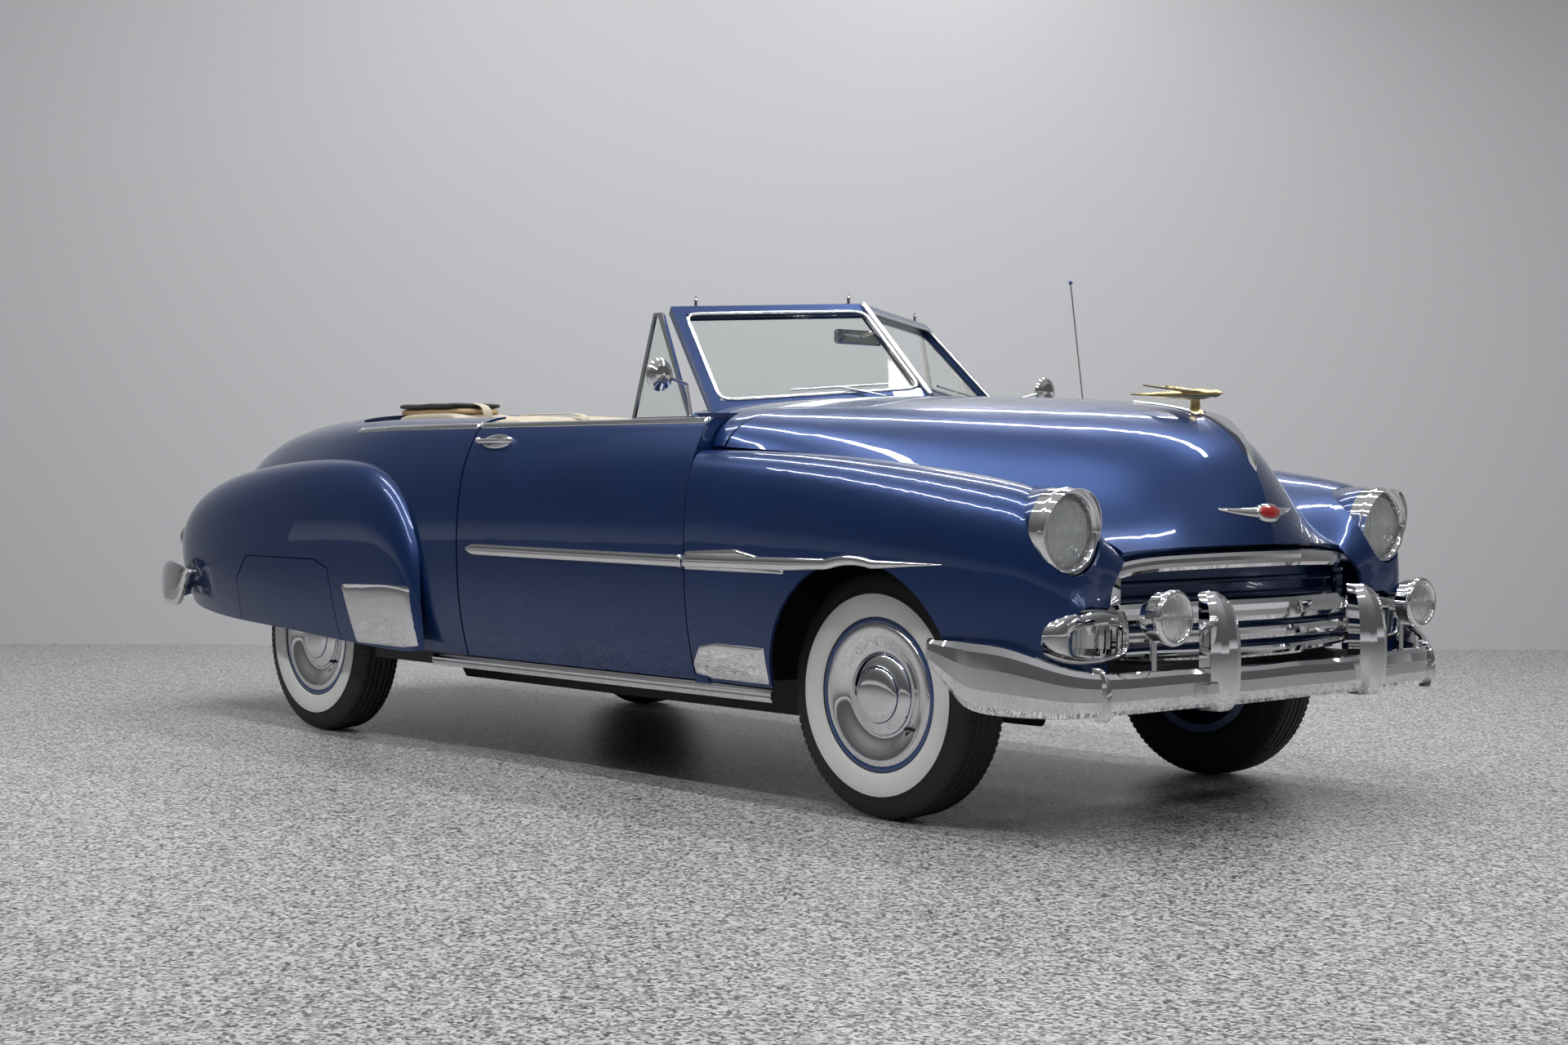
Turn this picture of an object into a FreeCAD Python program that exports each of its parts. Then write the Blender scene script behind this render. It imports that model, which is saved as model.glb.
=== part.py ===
# An open two door car of the early 1950s as one parametric document, in millimetres.
# X points forward, Y to the left, Z up, with the origin on the ground below the middle.
import math
import os
import re

import FreeCAD
import Part
import Sketcher
from FreeCAD import Placement, Rotation, Vector

os.makedirs("parts", exist_ok=True)
doc = FreeCAD.newDocument("open_car")

# The driving sizes, grouped by the piece they belong to
sizes = {
    # Whole car
    "wheelbase": 2921, "front_overhang": 860, "rear_overhang": 1242,
    "half_width": 938.5, "hood_height": 1200,
    # Running clearances
    "seat_gap": 0.3, "pin_gap": 0.3, "door_gap": 8.5, "lid_gap": 8.5, "overrun": 40,
    # Wheels and tyres
    "hub_height": 346, "front_wheel_inset": 218.5, "rear_wheel_inset": 192.5,
    "tyre_radius": 346, "tyre_half_width": 89, "tread_half_width": 64, "shoulder_radius": 340,
    "bead_radius": 198.5, "bead_half_width": 60,
    "rim_radius": 211, "rim_half_width": 73, "rim_lip": 7, "rim_well_radius": 170,
    "cap_radius": 112, "cap_height": 88, "cap_wall": 3, "trim_ring_radius": 197, "disc_front": 45,
    "disc_wall": 8, "drum_radius": 140, "drum_depth": 58,
    "spindle_radius": 20, "spindle_reach": 30,
    # Steering
    "kingpin_inset": 105, "kingpin_radius": 12, "kingpin_height": 210,
    "barrel_radius": 26, "barrel_height": 120, "plate_radius": 134, "plate_wall": 5,
    "drum_gap": 6, "steer_arm_length": 150, "steer_arm_width": 24, "steer_arm_wall": 12,
    # Body panels
    "panel_wall": 12, "hood_wall": 16, "lid_wall": 16, "door_wall": 80,
    "door_front": 715.4, "door_rear": 1893, "sill_top": 336, "sill_bottom": 300,
    "front_arch_radius": 374, "front_arch_shift": 15, "rear_arch_radius": 402,
    "skirt_gap": 4, "skirt_top": 640, "skirt_front": 2560, "skirt_rear": 3335, "skirt_slope": 90,
    "skirt_corner": 70,
    # Door hinges
    "hinge_back": 54, "hinge_inset": 57.5, "hinge_low": 640, "hinge_high": 800,
    "hinge_pin": 5, "hinge_eye": 9, "hinge_strap": 8, "hinge_height": 30, "hinge_drop": 46,
    "pillar_length": 60, "pillar_width": 40, "pillar_top": 985,
    # Cockpit opening and trunk opening, behind the front axle
    "cockpit_rear": 2960, "cockpit_inset": 248.5, "cockpit_corner": 220, "rail_height": 1040,
    "trunk_front": 3235, "trunk_inset": 468.5, "trunk_rear_height": 520, "trunk_corner": 150,
    # Hood and trunk hinges
    "hood_pin_back": 650, "hood_pin_height": 1172, "hood_pin_side": 260,
    "trunk_pin_back": 3075, "trunk_pin_height": 1150, "trunk_pin_side": 300,
    "neck_width": 16, "neck_wall": 10, "neck_pin": 5, "neck_eye": 11,
    # Windshield
    "screen_frame": 38, "screen_frame_wall": 34, "screen_glass": 6, "screen_bar": 26,
    # Floor, firewall and chassis
    "floor_height": 322, "floor_wall": 10, "tub_inset": 196.5, "jamb_length": 60, "trunk_floor_height": 500,
    "trunk_floor_inset": 378.5, "kick_up_back": 2480, "firewall_back": 692,
    "rail_from_spring": 145, "rail_width": 70, "rail_depth": 110, "rail_mid_top": 318,
    "rail_front_top": 452, 
    "engine_length": 740, "engine_width": 330, "engine_height": 520, "engine_bottom": 330,
    "engine_front": 250,
    "radiator_front": 470, "radiator_depth": 60, "radiator_half_width": 280,
    "radiator_bottom": 452.3, "radiator_top": 830,
    "axle_radius": 38, "banjo_radius": 125, "banjo_wall": 100, "torque_radius": 28, "torque_length": 1030, "torque_drop": 95, "tunnel_half": 42,
    "spring_length": 1240, "spring_width": 45, "spring_depth": 30, "spring_from_wheel": 226, "spring_rise": 10, "spring_eye": 15, "shackle_wall": 12, "mount_half_length": 35,
    "tank_length": 420, "tank_width": 700, "tank_depth": 170, "tank_back": 3420, "tank_edge": 30,
    "pipe_radius": 22, "pipe_inset": 330, "muffler_radius": 58, "muffler_length": 540,
    "muffler_back": 1000, "muffler_height": 238, "pipe_height": 180,
    # Seats and controls
    "front_seat_back": 1640, "rear_seat_back": 2412, "cushion_length": 540, "cushion_depth": 190,
    "seat_lift": 18, "runner_side": 300, "runner_width": 40, "seat_inset": 298.5, "rear_seat_inset": 328.5,
     "backrest_height": 690, "backrest_depth": 170,
    "seat_edge": 45,
    "wheel_ring_radius": 215, "wheel_ring_bar": 11, "column_radius": 22, "column_tilt": 35,
    "steering_side": 370, "ring_height": 1010, "ring_back": 993, "column_length": 620,
    "hub_radius": 45, "hub_depth": 50, "spoke_radius": 8,
    "dash_back": 760, "dash_depth": 140, "dash_height": 230, "dash_top": 1135, "dash_inset": 283.5,
    # Folded top
    "top_front": 2510, "top_inset": 473.5, "top_bottom": 1050, "top_height": 1213,
    # Vent windows, door handles, mirrors and other fittings
    "vent_front": 914, "vent_rear": 1205, "vent_bottom": 1120, "vent_top": 1468, "vent_rake": 250, "vent_set_back": 10,
    "vent_inset": 248.5, "vent_lean": 90, "vent_bar": 12, "vent_wall": 12, "vent_glass": 5,
    "handle_back": 1660, "handle_length": 190, "handle_height": 1060, "handle_stand": 30, "handle_depth": 7,
    "handle_width": 9,
    "mirror_back": 853, "mirror_inset": 60, "mirror_height": 1251, "mirror_radius": 50, "mirror_depth": 24,
    "mirror_stem": 5, "mirror_foot_inset": 190, "mirror_foot_height": 1120,
    "inner_mirror_back": 905, "inner_mirror_height": 1402, "inner_mirror_half_width": 105,
    "inner_mirror_half_height": 24, "inner_mirror_depth": 18, "inner_mirror_stem": 5,
    "wiper_back": 640, "wiper_side": 150, "wiper_reach": 330, "wiper_bar": 3.5, "wiper_pivot": 12,
    "antenna_back": 600, "antenna_inset": 113.5, "antenna_foot": 1005, "antenna_top": 1622, "antenna_lean": 88,
    "antenna_bar": 2.5, "antenna_base": 14, "antenna_bead": 7,
    "ornament_length": 210, "ornament_height": 34, "ornament_half_width": 9, "ornament_back": 470,
    "tail_lamp_radius": 44, "tail_lamp_depth": 46, "tail_lamp_height": 690, "tail_lamp_inset": 212,
    # Bumpers
    "bumper_height": 104, "bumper_wall": 26, "bumper_sheet": 5, "bumper_mid": 400, "rear_bumper_mid": 500,
    "bumper_back": 22, "guard_side": 345, "guard_half_width": 52, "guard_top": 650, "guard_bottom": 338,
    "guard_depth": 70, "rear_guard_bottom": 385, "rear_guard_depth": 36,
    "rear_guard_top": 572, "small_guard_side": 752, "small_guard_half_width": 11,
    "small_guard_depth": 40, "small_guard_top": 466, "small_guard_bottom": 330, "small_guard_back": 76,
    # Headlamps, parking lamps and fog lamps
    "headlamp_ahead": 592, "headlamp_inset": 215.5, "headlamp_height": 808, "headlamp_radius": 114, "headlamp_depth": 150,
    "bezel_ahead": 36, "visor_ahead": 62, "visor_wall": 4, "lens_radius": 96, "lens_dome": 26, "bowl_depth": 60,
    "nacelle_depth": 52, "lens_wall": 3, "parking_in": 690, "parking_out": 757, "parking_low": 490,
    "parking_high": 554, "louvre_in": 540, "louvre_step": 27, "louvre_half": 4, "louvre_depth": 12,
    "fog_ahead": 838, "fog_inset": 363.5, "fog_height": 590, "fog_radius": 72, "fog_depth": 92, "fog_rim": 6, "fog_stem": 9,
    "fog_foot": 60,
    # Grille
    "splash_ahead": 530, "splash_wall": 10, "splash_inset": 358.5, "splash_top": 742, "rib_radius": 9,
    "bar_depth": 34, "post_inner": 514, "post_outer": 572, "post_wall": 20, "post_low": 596, "post_high": 684,
}
sheet = doc.addObject("Spreadsheet::Sheet", "Sizes")
for row, (name, value) in enumerate(sizes.items(), start=1):
    sheet.set("A%d" % row, name)
    sheet.set("B%d" % row, str(value))
    sheet.setAlias("B%d" % row, name)
doc.recompute()


def size(name):
    """A driving size read from the sheet."""
    return float(getattr(sheet, name))


def formula(text):
    """The text with each size's name written as a cell of the sheet."""
    return re.sub(r"[a-z_]{3,}", lambda found: "Sizes." + found.group(0), text)


length = size("front_overhang") + size("wheelbase") + size("rear_overhang")
front_axle = length / 2 - size("front_overhang")
rear_axle = front_axle - size("wheelbase")
front_axle_text = "(wheelbase + rear_overhang - front_overhang) / 2"
rear_axle_text = "(rear_overhang - front_overhang - wheelbase) / 2"

# Control nets of the body skins: shares of the wheelbase ahead of the front axle,
# of the half width and of the hood's height
hood_shares = [
    [(-0.163, 0.000, 1.001), (-0.169, 0.298, 0.998), (-0.187, 0.581, 0.982),
     (-0.210, 0.759, 0.940), (-0.220, 0.818, 0.902), (-0.222, 0.838, 0.862)],
    [(-0.079, 0.000, 0.997), (-0.082, 0.272, 0.993), (-0.090, 0.522, 0.973),
     (-0.099, 0.682, 0.927), (-0.104, 0.751, 0.885), (-0.106, 0.791, 0.847)],
    [(0.041, 0.000, 0.983), (0.039, 0.229, 0.977), (0.036, 0.426, 0.948), (0.031, 0.559, 0.895),
     (0.027, 0.639, 0.845), (0.026, 0.695, 0.810)],
    [(0.161, 0.000, 0.958), (0.157, 0.170, 0.940), (0.148, 0.325, 0.893), (0.139, 0.442, 0.825),
     (0.134, 0.517, 0.775), (0.131, 0.575, 0.738)],
    [(0.223, 0.000, 0.883), (0.216, 0.123, 0.853), (0.203, 0.256, 0.792), (0.192, 0.373, 0.725),
     (0.185, 0.458, 0.679), (0.182, 0.533, 0.654)],
    [(0.248, 0.000, 0.733), (0.240, 0.119, 0.713), (0.227, 0.254, 0.688), (0.216, 0.378, 0.663),
     (0.209, 0.469, 0.648), (0.205, 0.533, 0.637)],
    [(0.254, 0.000, 0.640), (0.249, 0.139, 0.639), (0.239, 0.277, 0.637), (0.227, 0.405, 0.634),
     (0.218, 0.479, 0.630), (0.212, 0.536, 0.625)],
]
front_fender_shares = [
    [(-0.242, 0.848, 0.848), (-0.242, 0.869, 0.858), (-0.242, 0.904, 0.852),
     (-0.242, 0.938, 0.804), (-0.242, 0.956, 0.717), (-0.242, 0.961, 0.600),
     (-0.242, 0.952, 0.450), (-0.242, 0.929, 0.350), (-0.242, 0.901, 0.285)],
    [(-0.120, 0.814, 0.832), (-0.120, 0.849, 0.856), (-0.120, 0.897, 0.853),
     (-0.120, 0.943, 0.807), (-0.120, 0.965, 0.717), (-0.120, 0.971, 0.600),
     (-0.120, 0.962, 0.450), (-0.120, 0.942, 0.350), (-0.120, 0.918, 0.285)],
    [(0.021, 0.712, 0.796), (0.021, 0.783, 0.825), (0.021, 0.859, 0.835), (0.021, 0.934, 0.796),
     (0.021, 0.970, 0.708), (0.021, 0.975, 0.600), (0.021, 0.969, 0.450), (0.021, 0.955, 0.350),
     (0.021, 0.938, 0.287)],
    [(0.134, 0.592, 0.723), (0.134, 0.693, 0.775), (0.134, 0.801, 0.805), (0.134, 0.911, 0.771),
     (0.134, 0.963, 0.692), (0.134, 0.972, 0.592), (0.134, 0.965, 0.458), (0.134, 0.954, 0.358),
     (0.134, 0.943, 0.300)],
    [(0.183, 0.546, 0.643), (0.187, 0.639, 0.718), (0.192, 0.765, 0.783), (0.190, 0.884, 0.746),
     (0.187, 0.938, 0.679), (0.188, 0.948, 0.583), (0.188, 0.940, 0.458), (0.187, 0.929, 0.367),
     (0.185, 0.918, 0.308)],
    [(0.207, 0.541, 0.627), (0.210, 0.618, 0.667), (0.210, 0.735, 0.718), (0.209, 0.831, 0.708),
     (0.212, 0.874, 0.654), (0.216, 0.878, 0.575), (0.219, 0.865, 0.467), (0.216, 0.855, 0.367),
     (0.215, 0.844, 0.317)],
    [(0.212, 0.546, 0.617), (0.219, 0.591, 0.623), (0.223, 0.682, 0.627), (0.224, 0.751, 0.618),
     (0.225, 0.783, 0.593), (0.227, 0.783, 0.546), (0.227, 0.769, 0.467), (0.224, 0.759, 0.383),
     (0.221, 0.748, 0.333)],
    [(0.216, 0.546, 0.607), (0.219, 0.565, 0.593), (0.221, 0.592, 0.575), (0.221, 0.614, 0.554),
     (0.221, 0.623, 0.529), (0.221, 0.627, 0.500), (0.221, 0.627, 0.450), (0.219, 0.627, 0.392),
     (0.219, 0.627, 0.350)],
]
rear_fender_shares = [
    [(-0.725, 0.952, 0.542), (-0.723, 0.956, 0.492), (-0.722, 0.957, 0.442),
     (-0.720, 0.955, 0.392), (-0.719, 0.949, 0.342), (-0.719, 0.944, 0.292)],
    [(-0.739, 0.944, 0.667), (-0.733, 0.980, 0.629), (-0.728, 0.999, 0.542),
     (-0.726, 0.997, 0.442), (-0.724, 0.987, 0.358), (-0.724, 0.964, 0.287)],
    [(-0.791, 0.912, 0.796), (-0.779, 0.970, 0.783), (-0.762, 1.007, 0.683),
     (-0.755, 1.012, 0.533), (-0.751, 1.002, 0.392), (-0.751, 0.964, 0.279)],
    [(-0.883, 0.857, 0.837), (-0.875, 0.933, 0.852), (-0.861, 0.997, 0.775),
     (-0.852, 1.007, 0.592), (-0.851, 0.999, 0.417), (-0.851, 0.975, 0.292)],
    [(-1.027, 0.799, 0.833), (-1.027, 0.901, 0.853), (-1.027, 0.986, 0.775),
     (-1.027, 1.007, 0.600), (-1.027, 0.999, 0.433), (-1.027, 0.974, 0.317)],
    [(-1.171, 0.741, 0.798), (-1.171, 0.852, 0.828), (-1.171, 0.964, 0.758),
     (-1.171, 0.991, 0.600), (-1.171, 0.982, 0.450), (-1.171, 0.954, 0.327)],
    [(-1.277, 0.682, 0.746), (-1.278, 0.799, 0.788), (-1.280, 0.925, 0.727),
     (-1.280, 0.955, 0.592), (-1.278, 0.946, 0.467), (-1.274, 0.914, 0.346)],
    [(-1.349, 0.637, 0.671), (-1.352, 0.748, 0.722), (-1.356, 0.868, 0.667),
     (-1.356, 0.900, 0.567), (-1.353, 0.891, 0.467), (-1.345, 0.852, 0.368)],
    [(-1.380, 0.618, 0.575), (-1.387, 0.690, 0.627), (-1.393, 0.778, 0.597),
     (-1.395, 0.806, 0.533), (-1.392, 0.799, 0.458), (-1.385, 0.767, 0.390)],
    [(-1.383, 0.609, 0.492), (-1.391, 0.641, 0.528), (-1.397, 0.682, 0.522),
     (-1.400, 0.693, 0.492), (-1.397, 0.686, 0.450), (-1.389, 0.663, 0.408)],
]
door_section_shares = [
    (0.901, 0.285), (0.927, 0.354), (0.948, 0.450), (0.958, 0.600), (0.950, 0.725), (0.925, 0.821),
    (0.884, 0.888), (0.842, 0.945), (0.682, 0.960), (0.320, 0.965), (0.000, 0.965),
]
body_shares = [
    (-0.219, door_section_shares),
    (-0.359, door_section_shares),
    (-0.507, door_section_shares),
    (-0.651, [(0.901, 0.285), (0.927, 0.354), (0.948, 0.450), (0.957, 0.600), (0.948, 0.725),
      (0.923, 0.823), (0.881, 0.892), (0.840, 0.947), (0.682, 0.963), (0.320, 0.968),
      (0.000, 0.969)]),
    (-0.787, [(0.898, 0.285), (0.925, 0.354), (0.945, 0.450), (0.952, 0.600), (0.941, 0.725),
      (0.914, 0.825), (0.869, 0.893), (0.827, 0.947), (0.677, 0.967), (0.320, 0.973),
      (0.000, 0.974)]),
    (-0.907, [(0.874, 0.287), (0.900, 0.358), (0.921, 0.450), (0.927, 0.600), (0.916, 0.725),
      (0.891, 0.823), (0.848, 0.892), (0.801, 0.947), (0.650, 0.975), (0.320, 0.987),
      (0.000, 0.988)]),
    (-1.027, [(0.831, 0.292), (0.856, 0.362), (0.874, 0.454), (0.880, 0.600), (0.869, 0.721),
      (0.842, 0.817), (0.801, 0.885), (0.748, 0.940), (0.607, 0.977), (0.309, 0.992),
      (0.000, 0.993)]),
    (-1.164, [(0.762, 0.300), (0.781, 0.371), (0.794, 0.458), (0.799, 0.592), (0.791, 0.708),
      (0.767, 0.796), (0.731, 0.863), (0.682, 0.915), (0.554, 0.957), (0.288, 0.979),
      (0.000, 0.982)]),
    (-1.267, [(0.698, 0.312), (0.712, 0.379), (0.722, 0.458), (0.727, 0.575), (0.718, 0.679),
      (0.698, 0.758), (0.665, 0.818), (0.618, 0.868), (0.501, 0.910), (0.266, 0.933),
      (0.000, 0.938)]),
    ((-1.335, -1.352), [(0.650, 0.321), (0.658, 0.383), (0.666, 0.454), (0.669, 0.550), (0.663, 0.637),
      (0.646, 0.704), (0.616, 0.754), (0.573, 0.793), (0.458, 0.828), (0.245, 0.848),
      (0.000, 0.853)]),
    ((-1.358, -1.385), [(0.631, 0.325), (0.638, 0.379), (0.645, 0.442), (0.647, 0.517), (0.641, 0.583),
      (0.627, 0.640), (0.599, 0.680), (0.556, 0.710), (0.442, 0.737), (0.237, 0.753),
      (0.000, 0.757)]),
    ((-1.369, -1.397), [(0.618, 0.328), (0.624, 0.367), (0.629, 0.417), (0.630, 0.477), (0.625, 0.529),
      (0.611, 0.568), (0.584, 0.596), (0.541, 0.617), (0.430, 0.633), (0.230, 0.645),
      (0.000, 0.648)]),
    ((-1.374, -1.401), [(0.609, 0.330), (0.614, 0.353), (0.616, 0.388), (0.616, 0.427), (0.612, 0.462),
      (0.597, 0.487), (0.571, 0.503), (0.529, 0.515), (0.420, 0.527), (0.225, 0.534),
      (0.000, 0.537)]),
    ((-1.376, -1.397), [(0.603, 0.331), (0.605, 0.340), (0.606, 0.357), (0.605, 0.375), (0.600, 0.392),
      (0.585, 0.403), (0.559, 0.412), (0.518, 0.417), (0.411, 0.422), (0.221, 0.425),
      (0.000, 0.427)]),
    ((-1.375, -1.391), [(0.597, 0.332), (0.595, 0.334), (0.591, 0.337), (0.586, 0.340), (0.579, 0.343),
      (0.565, 0.344), (0.541, 0.345), (0.501, 0.346), (0.397, 0.347), (0.213, 0.347),
      (0.000, 0.347)]),
]
cowl_shares = [
    [(-0.166, 0.000, 1.000), (-0.172, 0.298, 0.997), (-0.190, 0.581, 0.981),
     (-0.213, 0.759, 0.939), (-0.223, 0.818, 0.901), (-0.225, 0.838, 0.864)],
    [(-0.185, 0.000, 1.002), (-0.191, 0.300, 1.000), (-0.209, 0.586, 0.984),
     (-0.228, 0.768, 0.945), (-0.233, 0.825, 0.903), (-0.235, 0.840, 0.866)],
    [(-0.222, 0.000, 1.004), (-0.262, 0.303, 1.000), (-0.300, 0.590, 0.980),
     (-0.322, 0.765, 0.950), (-0.322, 0.838, 0.900), (-0.322, 0.843, 0.862)],
]
# Corners of one half of the windshield, low middle, low side, high side, high middle
screen_shares = [(-0.193, 0.000, 1.004), (-0.284, 0.728, 0.958), (-0.394, 0.623, 1.240), (-0.300, 0.000, 1.262)]
cubic = 3


def place(x_share, y_share, z_share):
    """A point of the body from its shares."""
    return Vector(front_axle + x_share * size("wheelbase"), y_share * size("half_width"),
                  z_share * size("hood_height"))


def knots(count):
    """Degree, multiplicities and knots of an even clamped spline with this many poles."""
    degree = min(cubic, count - 1)
    spans = count - degree
    multiplicities = [degree + 1] + [1] * (spans - 1) + [degree + 1]
    return degree, multiplicities, [index / spans for index in range(spans + 1)]


def skin(poles):
    """A smooth surface over a net of poles."""
    u_degree, u_mults, u_knots = knots(len(poles))
    v_degree, v_mults, v_knots = knots(len(poles[0]))
    surface = Part.BSplineSurface()
    surface.buildFromPolesMultsKnots(poles, u_mults, v_mults, u_knots, v_knots, False, False,
                                     u_degree, v_degree)
    return surface


def averages(count):
    """The parameters at which the poles of an even clamped spline pull most."""
    degree, mults, values = knots(count)
    full = [value for value, times in zip(values, mults) for _ in range(times)]
    return [sum(full[index + 1:index + degree + 1]) / degree for index in range(count)]


def moved(poles, distance, on_middle=False):
    """The poles moved along the skin's normal, away from the car's middle if positive."""
    surface = skin(poles)
    rows = averages(len(poles))
    columns = averages(len(poles[0]))
    middle = Vector(0, 0, size("hood_height") / 2)
    lean = 0
    normals = []
    for row, u in zip(poles, rows):
        line = []
        for pole, v in zip(row, columns):
            normal = surface.normal(u, v)
            lean += normal.dot(Vector(pole.x, pole.y, pole.z) - Vector(pole.x, 0, middle.z))
            line.append(normal)
        normals.append(line)
    way = 1 if lean > 0 else -1
    result = [[pole + normal * (distance * way) for pole, normal in zip(row, line)]
              for row, line in zip(poles, normals)]
    if on_middle:
        for row in result:
            row[0] = Vector(row[0].x, 0, row[0].z)
    return result


def solid_of(faces):
    """A closed solid from faces that share their edges."""
    shell = Part.makeShell(faces)
    shell.sewShape()
    solid = Part.makeSolid(shell)
    if solid.Volume < 0:
        solid.reverse()
    return solid


def between(outer, inner):
    """The solid between two surfaces with matching borders."""
    faces = [outer.toShape(), inner.toShape()]
    low_u, high_u, low_v, high_v = outer.bounds()
    for parameter in (low_u, high_u):
        faces.append(Part.makeRuledSurface(outer.uIso(parameter).toShape(), inner.uIso(parameter).toShape()))
    for parameter in (low_v, high_v):
        faces.append(Part.makeRuledSurface(outer.vIso(parameter).toShape(), inner.vIso(parameter).toShape()))
    return solid_of(faces)


def panel(poles, wall, on_middle=False):
    """A sheet of even wall whose outer face is the skin over the poles."""
    return between(skin(poles), skin(moved(poles, -wall, on_middle)))


def net(shares):
    """The poles of a table of shares."""
    return [[place(*share) for share in row] for row in shares]


def block(low, high):
    """A box between two corners."""
    return Part.makeBox(high[0] - low[0], high[1] - low[1], high[2] - low[2], Vector(*low))


def prism(points, direction):
    """A solid swept straight from a flat outline."""
    wire = Part.makePolygon([Vector(*point) for point in points] + [Vector(*points[0])])
    return Part.Face(wire).extrude(Vector(*direction))


def rod(start, end, radius):
    """A round bar between two points."""
    start = Vector(*start)
    way = Vector(*end) - start
    return Part.makeCylinder(radius, way.Length, start, way)


def opposite(shape):
    """The shape on the other side of the car."""
    return shape.mirror(Vector(0, 0, 0), Vector(0, 1, 0))


def both(shape):
    """A shape with its copy on the other side, as separate solids."""
    return Part.makeCompound([shape, opposite(shape)])


def joined(first, *others):
    """Shapes fused to one."""
    return first.fuse(list(others)).removeSplitter() if others else first


nodes = []


def keep(obj, label):
    """List an object as a piece of the car under its name."""
    obj.Label = label
    nodes.append(obj)
    return obj


def feature(label, shape):
    """A piece whose shape is worked out above from the sheet's sizes."""
    obj = doc.addObject("Part::Feature", label)
    solids = shape.Solids
    obj.Shape = solids[0] if len(solids) == 1 else Part.makeCompound(solids)
    obj.Placement = Placement()
    return keep(obj, label)


def bound(kind, name, base, turn=None, **values):
    """A primitive whose sizes and base point follow the sheet."""
    obj = doc.addObject("Part::" + kind, name)
    if turn:
        obj.Placement = Placement(Vector(0, 0, 0), turn)
    for key, text in values.items():
        obj.setExpression(key, formula(text))
    for axis, text in zip("xyz", base):
        obj.setExpression(".Placement.Base." + axis, formula(text))
    return obj


def fused(name, *shapes):
    """A fusion of objects."""
    obj = doc.addObject("Part::MultiFuse", name)
    obj.Shapes = list(shapes)
    return obj


def mirror_of(name, source):
    """The object's copy on the other side of the car."""
    obj = doc.addObject("Part::Mirroring", name)
    obj.Source = source
    obj.Normal = Vector(0, 1, 0)
    return obj


across = Rotation(Vector(1, 0, 0), -90)
forward = Rotation(Vector(0, 1, 0), 90)


def behind(name):
    """The place along the car of a size given behind the front axle."""
    return front_axle - size(name)

# Body skins
half_width = size("half_width")
hood_height = size("hood_height")
rail_in = half_width - size("rear_wheel_inset") - size("spring_from_wheel") - size("rail_from_spring")
wall = size("panel_wall")
reach = half_width + size("overrun")
full_length = length
sky = hood_height * 2
ground = -size("overrun")


def body_net():
    """The net of the side, deck and tail, from the sill up to the middle of the deck.

    A tail section gives its place at the side and at the middle, and bows between them.
    """
    rows = []
    for along, section in body_shares:
        beside, middle = along if isinstance(along, tuple) else (along, along)
        outer = section[0][0]
        rows.append([place(middle + (beside - middle) * (y_share / outer) ** 2, y_share, z_share)
                     for y_share, z_share in section])
    return rows


def sheet_toward(poles, wall, spine_shares):
    """A sheet whose inner face is drawn in toward a line along the car."""
    start, end = (place(*share) for share in spine_shares)
    inner = []
    for row in poles:
        line = []
        for pole in row:
            spine = Vector(min(max(pole.x, start.x), end.x), end.y, end.z)
            line.append(pole + (spine - pole).normalize() * wall)
        inner.append(line)
    return between(skin(poles), skin(inner))


# Lines along the car that each body skin curves around
body_spine_shares = [(-1.18, 0.00, 0.62), (0.00, 0.00, 0.62)]
front_fender_spine_shares = [(-0.30, 0.68, 0.50), (0.15, 0.68, 0.50)]
rear_fender_spine_shares = [(-1.23, 0.62, 0.50), (-0.86, 0.62, 0.50)]
belt_share, door_reach_share, quarter_share = 0.735, 0.45, 0.10
door_front = behind("door_front")
door_rear = behind("door_rear")
gap = size("door_gap")


def arch(radius, centre_x, side=1):
    """A cutter for a wheel arch, open at the bottom, on one side of the car."""
    inner = rail_in + size("rail_width")
    hub = size("hub_height")
    cutter = rod((centre_x, inner, hub), (centre_x, reach, hub), radius)
    lower = block((centre_x - radius, inner, ground), (centre_x + radius, reach, hub))
    return cutter.fuse(lower)


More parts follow.
